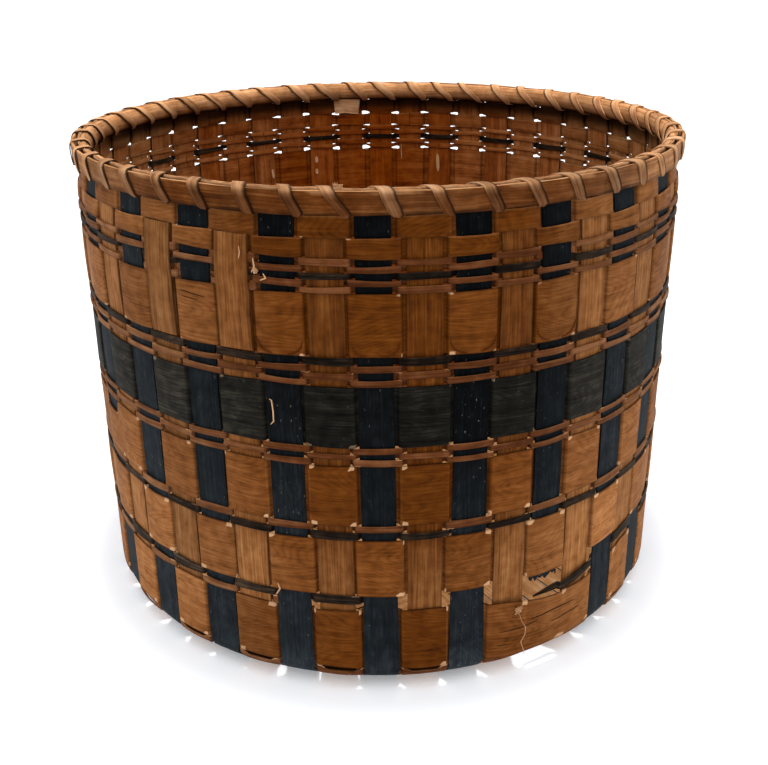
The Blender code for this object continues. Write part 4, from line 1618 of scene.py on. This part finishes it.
PLAIN, DYED = Cover.PLAIN, Cover.DYED
DARK = {"slot": "dyed_splint"}
LOWEST_SLUMP = Slump(
    (1.4, 2.4, 3.0, 3.5, 4.4, 5.1, 5.4, 5.6, 6.4, 6.9),
    (0.0, 1.2, 3.2, 3.6, 2.9, 2.2, 1.4, 0.8, 0.0, 0.0),
    (0.0, 2.6, 4.4, 6.4, 9.0, 8.8, 8.2, 7.8, 5.0, 0.0),
    (0.0, 0.5, 0.9, 1.1, 1.2, 0.8, 0.4, 0.0, 0.0, 0.0),
    (0.0, 0.7, 1.2, 1.6, 1.9, 1.3, 0.5, 0.0, 0.0, 0.0))
SOOT_SLUMP = Slump(
    (3.7, 4.2, 4.7, 5.1, 5.6, 6.2, 7.0),
    (12.4, 12.4, 11.6, 9.8, 7.0, 3.6, 0.0),
    (16.4, 13.6, 11.4, 8.8, 6.4, 3.8, 0.0),
    (0.8, 0.8, 0.7, 0.5, 0.2, 0.0, 0.0),
    (1.0, 1.2, 1.2, 0.9, 0.3, 0.0, 0.0))
SECOND_SLUMP = Slump(
    (3.2, 3.6, 4.2, 4.7, 5.0), (0.0, 1.2, 1.0, 2.0, 0.0), (0.0,) * 5,
    (0.0, 0.8, 1.0, 0.8, 0.0), (0.0,) * 5)
THIRD_SLUMP = Slump(
    (-8.5, -8.42, -7.58, -7.5), (0.0,) * 4, (0.0, 8.0, 8.0, 0.0), (0.0,) * 4, (0.0,) * 4)
SLACK = {
    "medium_weaver_7": (0.6, -0.1), "medium_weaver_6": (0.0, 0.5), "wide_weaver_5": (0.0, 0.7),
    "narrow_weaver_9": (0.6, 0.0), "narrow_weaver_12": (0.0, 0.1),
}
THREADS = (
    (0.4, ((3.22, 42.0, 4.6), (3.3, 36.0, 4.8), (3.42, 31.0, 4.6), (3.4, 26.0, 4.6),
           (3.3, 22.0, 4.4), (3.38, 16.0, 4.2), (3.46, 11.0, 3.4))),
    (0.7, ((-2.3, 175.5, 2.0), (-2.24, 175.0, 2.4), (-2.22, 169.0, 2.2), (-2.22, 163.5, 2.3),
           (-2.3, 161.5, 2.0))),
    (0.9, ((-2.36, 67.0, 2.0), (-2.3, 64.0, 2.6), (-2.4, 60.0, 2.3))),
    (0.8, ((-2.48, 247.0, 2.0), (-2.44, 243.0, 2.7), (-2.52, 240.0, 2.2))),
    (0.7, ((-2.27, 240.0, 2.0), (-2.2, 238.0, 2.8), (-2.34, 236.5, 2.3))),
    (0.6, ((-2.79, 252.0, 2.0), (-2.76, 249.0, 2.5), (-2.8, 246.0, 2.1))),
    (2.6, ((-21.8, 226.0, -1.7), (-21.8, 221.0, -1.7))),
    (2.2, ((-21.8, 216.5, -1.7), (-21.8, 212.0, -1.7))),
    (2.0, ((-20.25, 219.0, -1.7), (-20.28, 212.0, -1.7))),
    (2.6, ((22.05, 227.0, -1.7), (22.02, 213.0, -1.7))),
    (0.8, ((23.3, 234.0, -1.8), (23.28, 222.0, -2.4))),
    (11.0, ((25.55, 263.4, -2.2), (25.2, 264.0, -3.0), (24.72, 262.6, -2.2))),
)
TUFTS = ((3.2, 44.5, 4.2, 2.4, 12, 5), (-0.66, 281.0, 1.6, 2.4, 10, 6),
         (-2.42, 241.0, 2.2, 1.5, 6, 7))
WATERMARK_STAKES = (-2, 0, 2, 4)
WATERMARK = ((0.5, 208.0), (0.47, 204.5), (0.4, 202.2), (0.28, 200.8), (0.16, 200.2))
CRACKS = (
    (0.5, ((3.6, 34.0, 3.3), (4.3, 35.5, 3.6), (4.9, 35.0, 3.2))),
    (0.45, ((2.75, 31.0, 2.9), (3.3, 30.5, 3.2), (3.8, 32.0, 3.4))),
    (0.4, ((2.7, 22.0, 2.4), (3.1, 21.0, 2.5))),
    (0.4, ((4.2, 27.0, 3.2), (5.1, 28.5, 2.8))),
    (0.45, ((-3.35, 222.0, 1.75), (-2.75, 221.0, 1.75))),
    (0.45, ((-4.4, 225.5, 1.75), (-3.7, 224.0, 1.8))),
    (0.4, ((-4.35, 222.5, 1.75), (-3.9, 222.0, 1.8))),
    (0.45, ((-5.4, 47.0, 1.7), (-4.7, 44.5, 1.7))),
)
ROWS = (
    WeaverRow("base_edge_weaver", PLAIN, Tint.RUSSET, 20, foot_shift=-5.6 * MM,
              top_shift=-5.7 * MM, corner_rise=2.2 * MM),
    WeaverRow("wide_weaver_1", PLAIN, Tint.CHESTNUT, 26, foot_shift=-3.4 * MM, lapses=(4,),
              slump=LOWEST_SLUMP),
    WeaverRow("narrow_weaver_1_broken", DYED, Tint.RUSSET, 9, 36.62),
    WeaverRow("dyed_narrow_weaver_1_broken", PLAIN, Tint.SOOT, 3.75, 44.25, Tint.SOOT,
              slump=SOOT_SLUMP, **DARK),
    WeaverRow("wide_weaver_2", DYED, Tint.CHESTNUT, 23, hue=0.04, slump=SECOND_SLUMP),
    WeaverRow("dyed_narrow_weaver_2", PLAIN, Tint.SOOT, 28, 48.0, Tint.SOOT, **DARK),
    WeaverRow("narrow_weaver_2", DYED, Tint.RUSSET, 19),
    WeaverRow("wide_weaver_3", PLAIN, Tint.CHESTNUT, 22, hue=-0.04, lapses=(-8,),
              slump=THIRD_SLUMP),
    WeaverRow("narrow_weaver_3", DYED, Tint.RUSSET, 27),
    WeaverRow("narrow_weaver_4", PLAIN, Tint.RUSSET, 30),
    WeaverRow("narrow_weaver_5", DYED, Tint.RUSSET, 21),
    WeaverRow("dyed_wide_weaver_4", PLAIN, Tint.CHARCOAL, 24, **DARK),
    WeaverRow("narrow_weaver_6", DYED, Tint.RUSSET, 17),
    WeaverRow("narrow_weaver_7", PLAIN, Tint.RUSSET, 32),
    WeaverRow("narrow_weaver_8", DYED, Tint.RUSSET, 25),
    WeaverRow("dyed_narrow_weaver_3", PLAIN, Tint.SOOT, 20, 48.0, Tint.SOOT, **DARK),
    WeaverRow("wide_weaver_5", DYED, Tint.CHESTNUT, 29, hue=-0.06),
    WeaverRow("narrow_weaver_9", PLAIN, Tint.RUSSET, 22),
    WeaverRow("narrow_weaver_10", DYED, Tint.RUSSET, 31, lapses=(-6, -4)),
    WeaverRow("dyed_narrow_weaver_4", PLAIN, Tint.SOOT, 26, 48.0, Tint.SOOT, **DARK),
    WeaverRow("narrow_weaver_11_broken", DYED, Tint.RUSSET, 4.55, 46.95),
    WeaverRow("narrow_weaver_12", PLAIN, Tint.RUSSET, 28),
    WeaverRow("medium_weaver_6", DYED, Tint.CHESTNUT, 23, hue=-0.05),
    WeaverRow("medium_weaver_7", PLAIN, Tint.CHESTNUT, 30, hue=-0.05, top_shift=0.8 * MM),
)
WIDE_ROWS = tuple(row for row in ROWS if "wide" in row.node)
PATCHED = {"stake_patch_splint_1": 43, "stake_patch_splint_2": 45}


def main() -> None:
    """Build the basket and its studio."""
    logging.basicConfig(level=logging.INFO, format="%(message)s")
    paint = {finish.tint: finish.material() for finish in FINISHES}
    shop = Shop(Wall(), paint)
    WovenWall(shop, ROWS).make()
    splints = BaseSplints(shop, wide_rows=WIDE_ROWS)
    splints.make()
    splints.patches(PATCHED)
    Rim(shop).make()
    LooseFibres(shop).make()
    Studio().set_up()


if __name__ == "__main__":
    main()
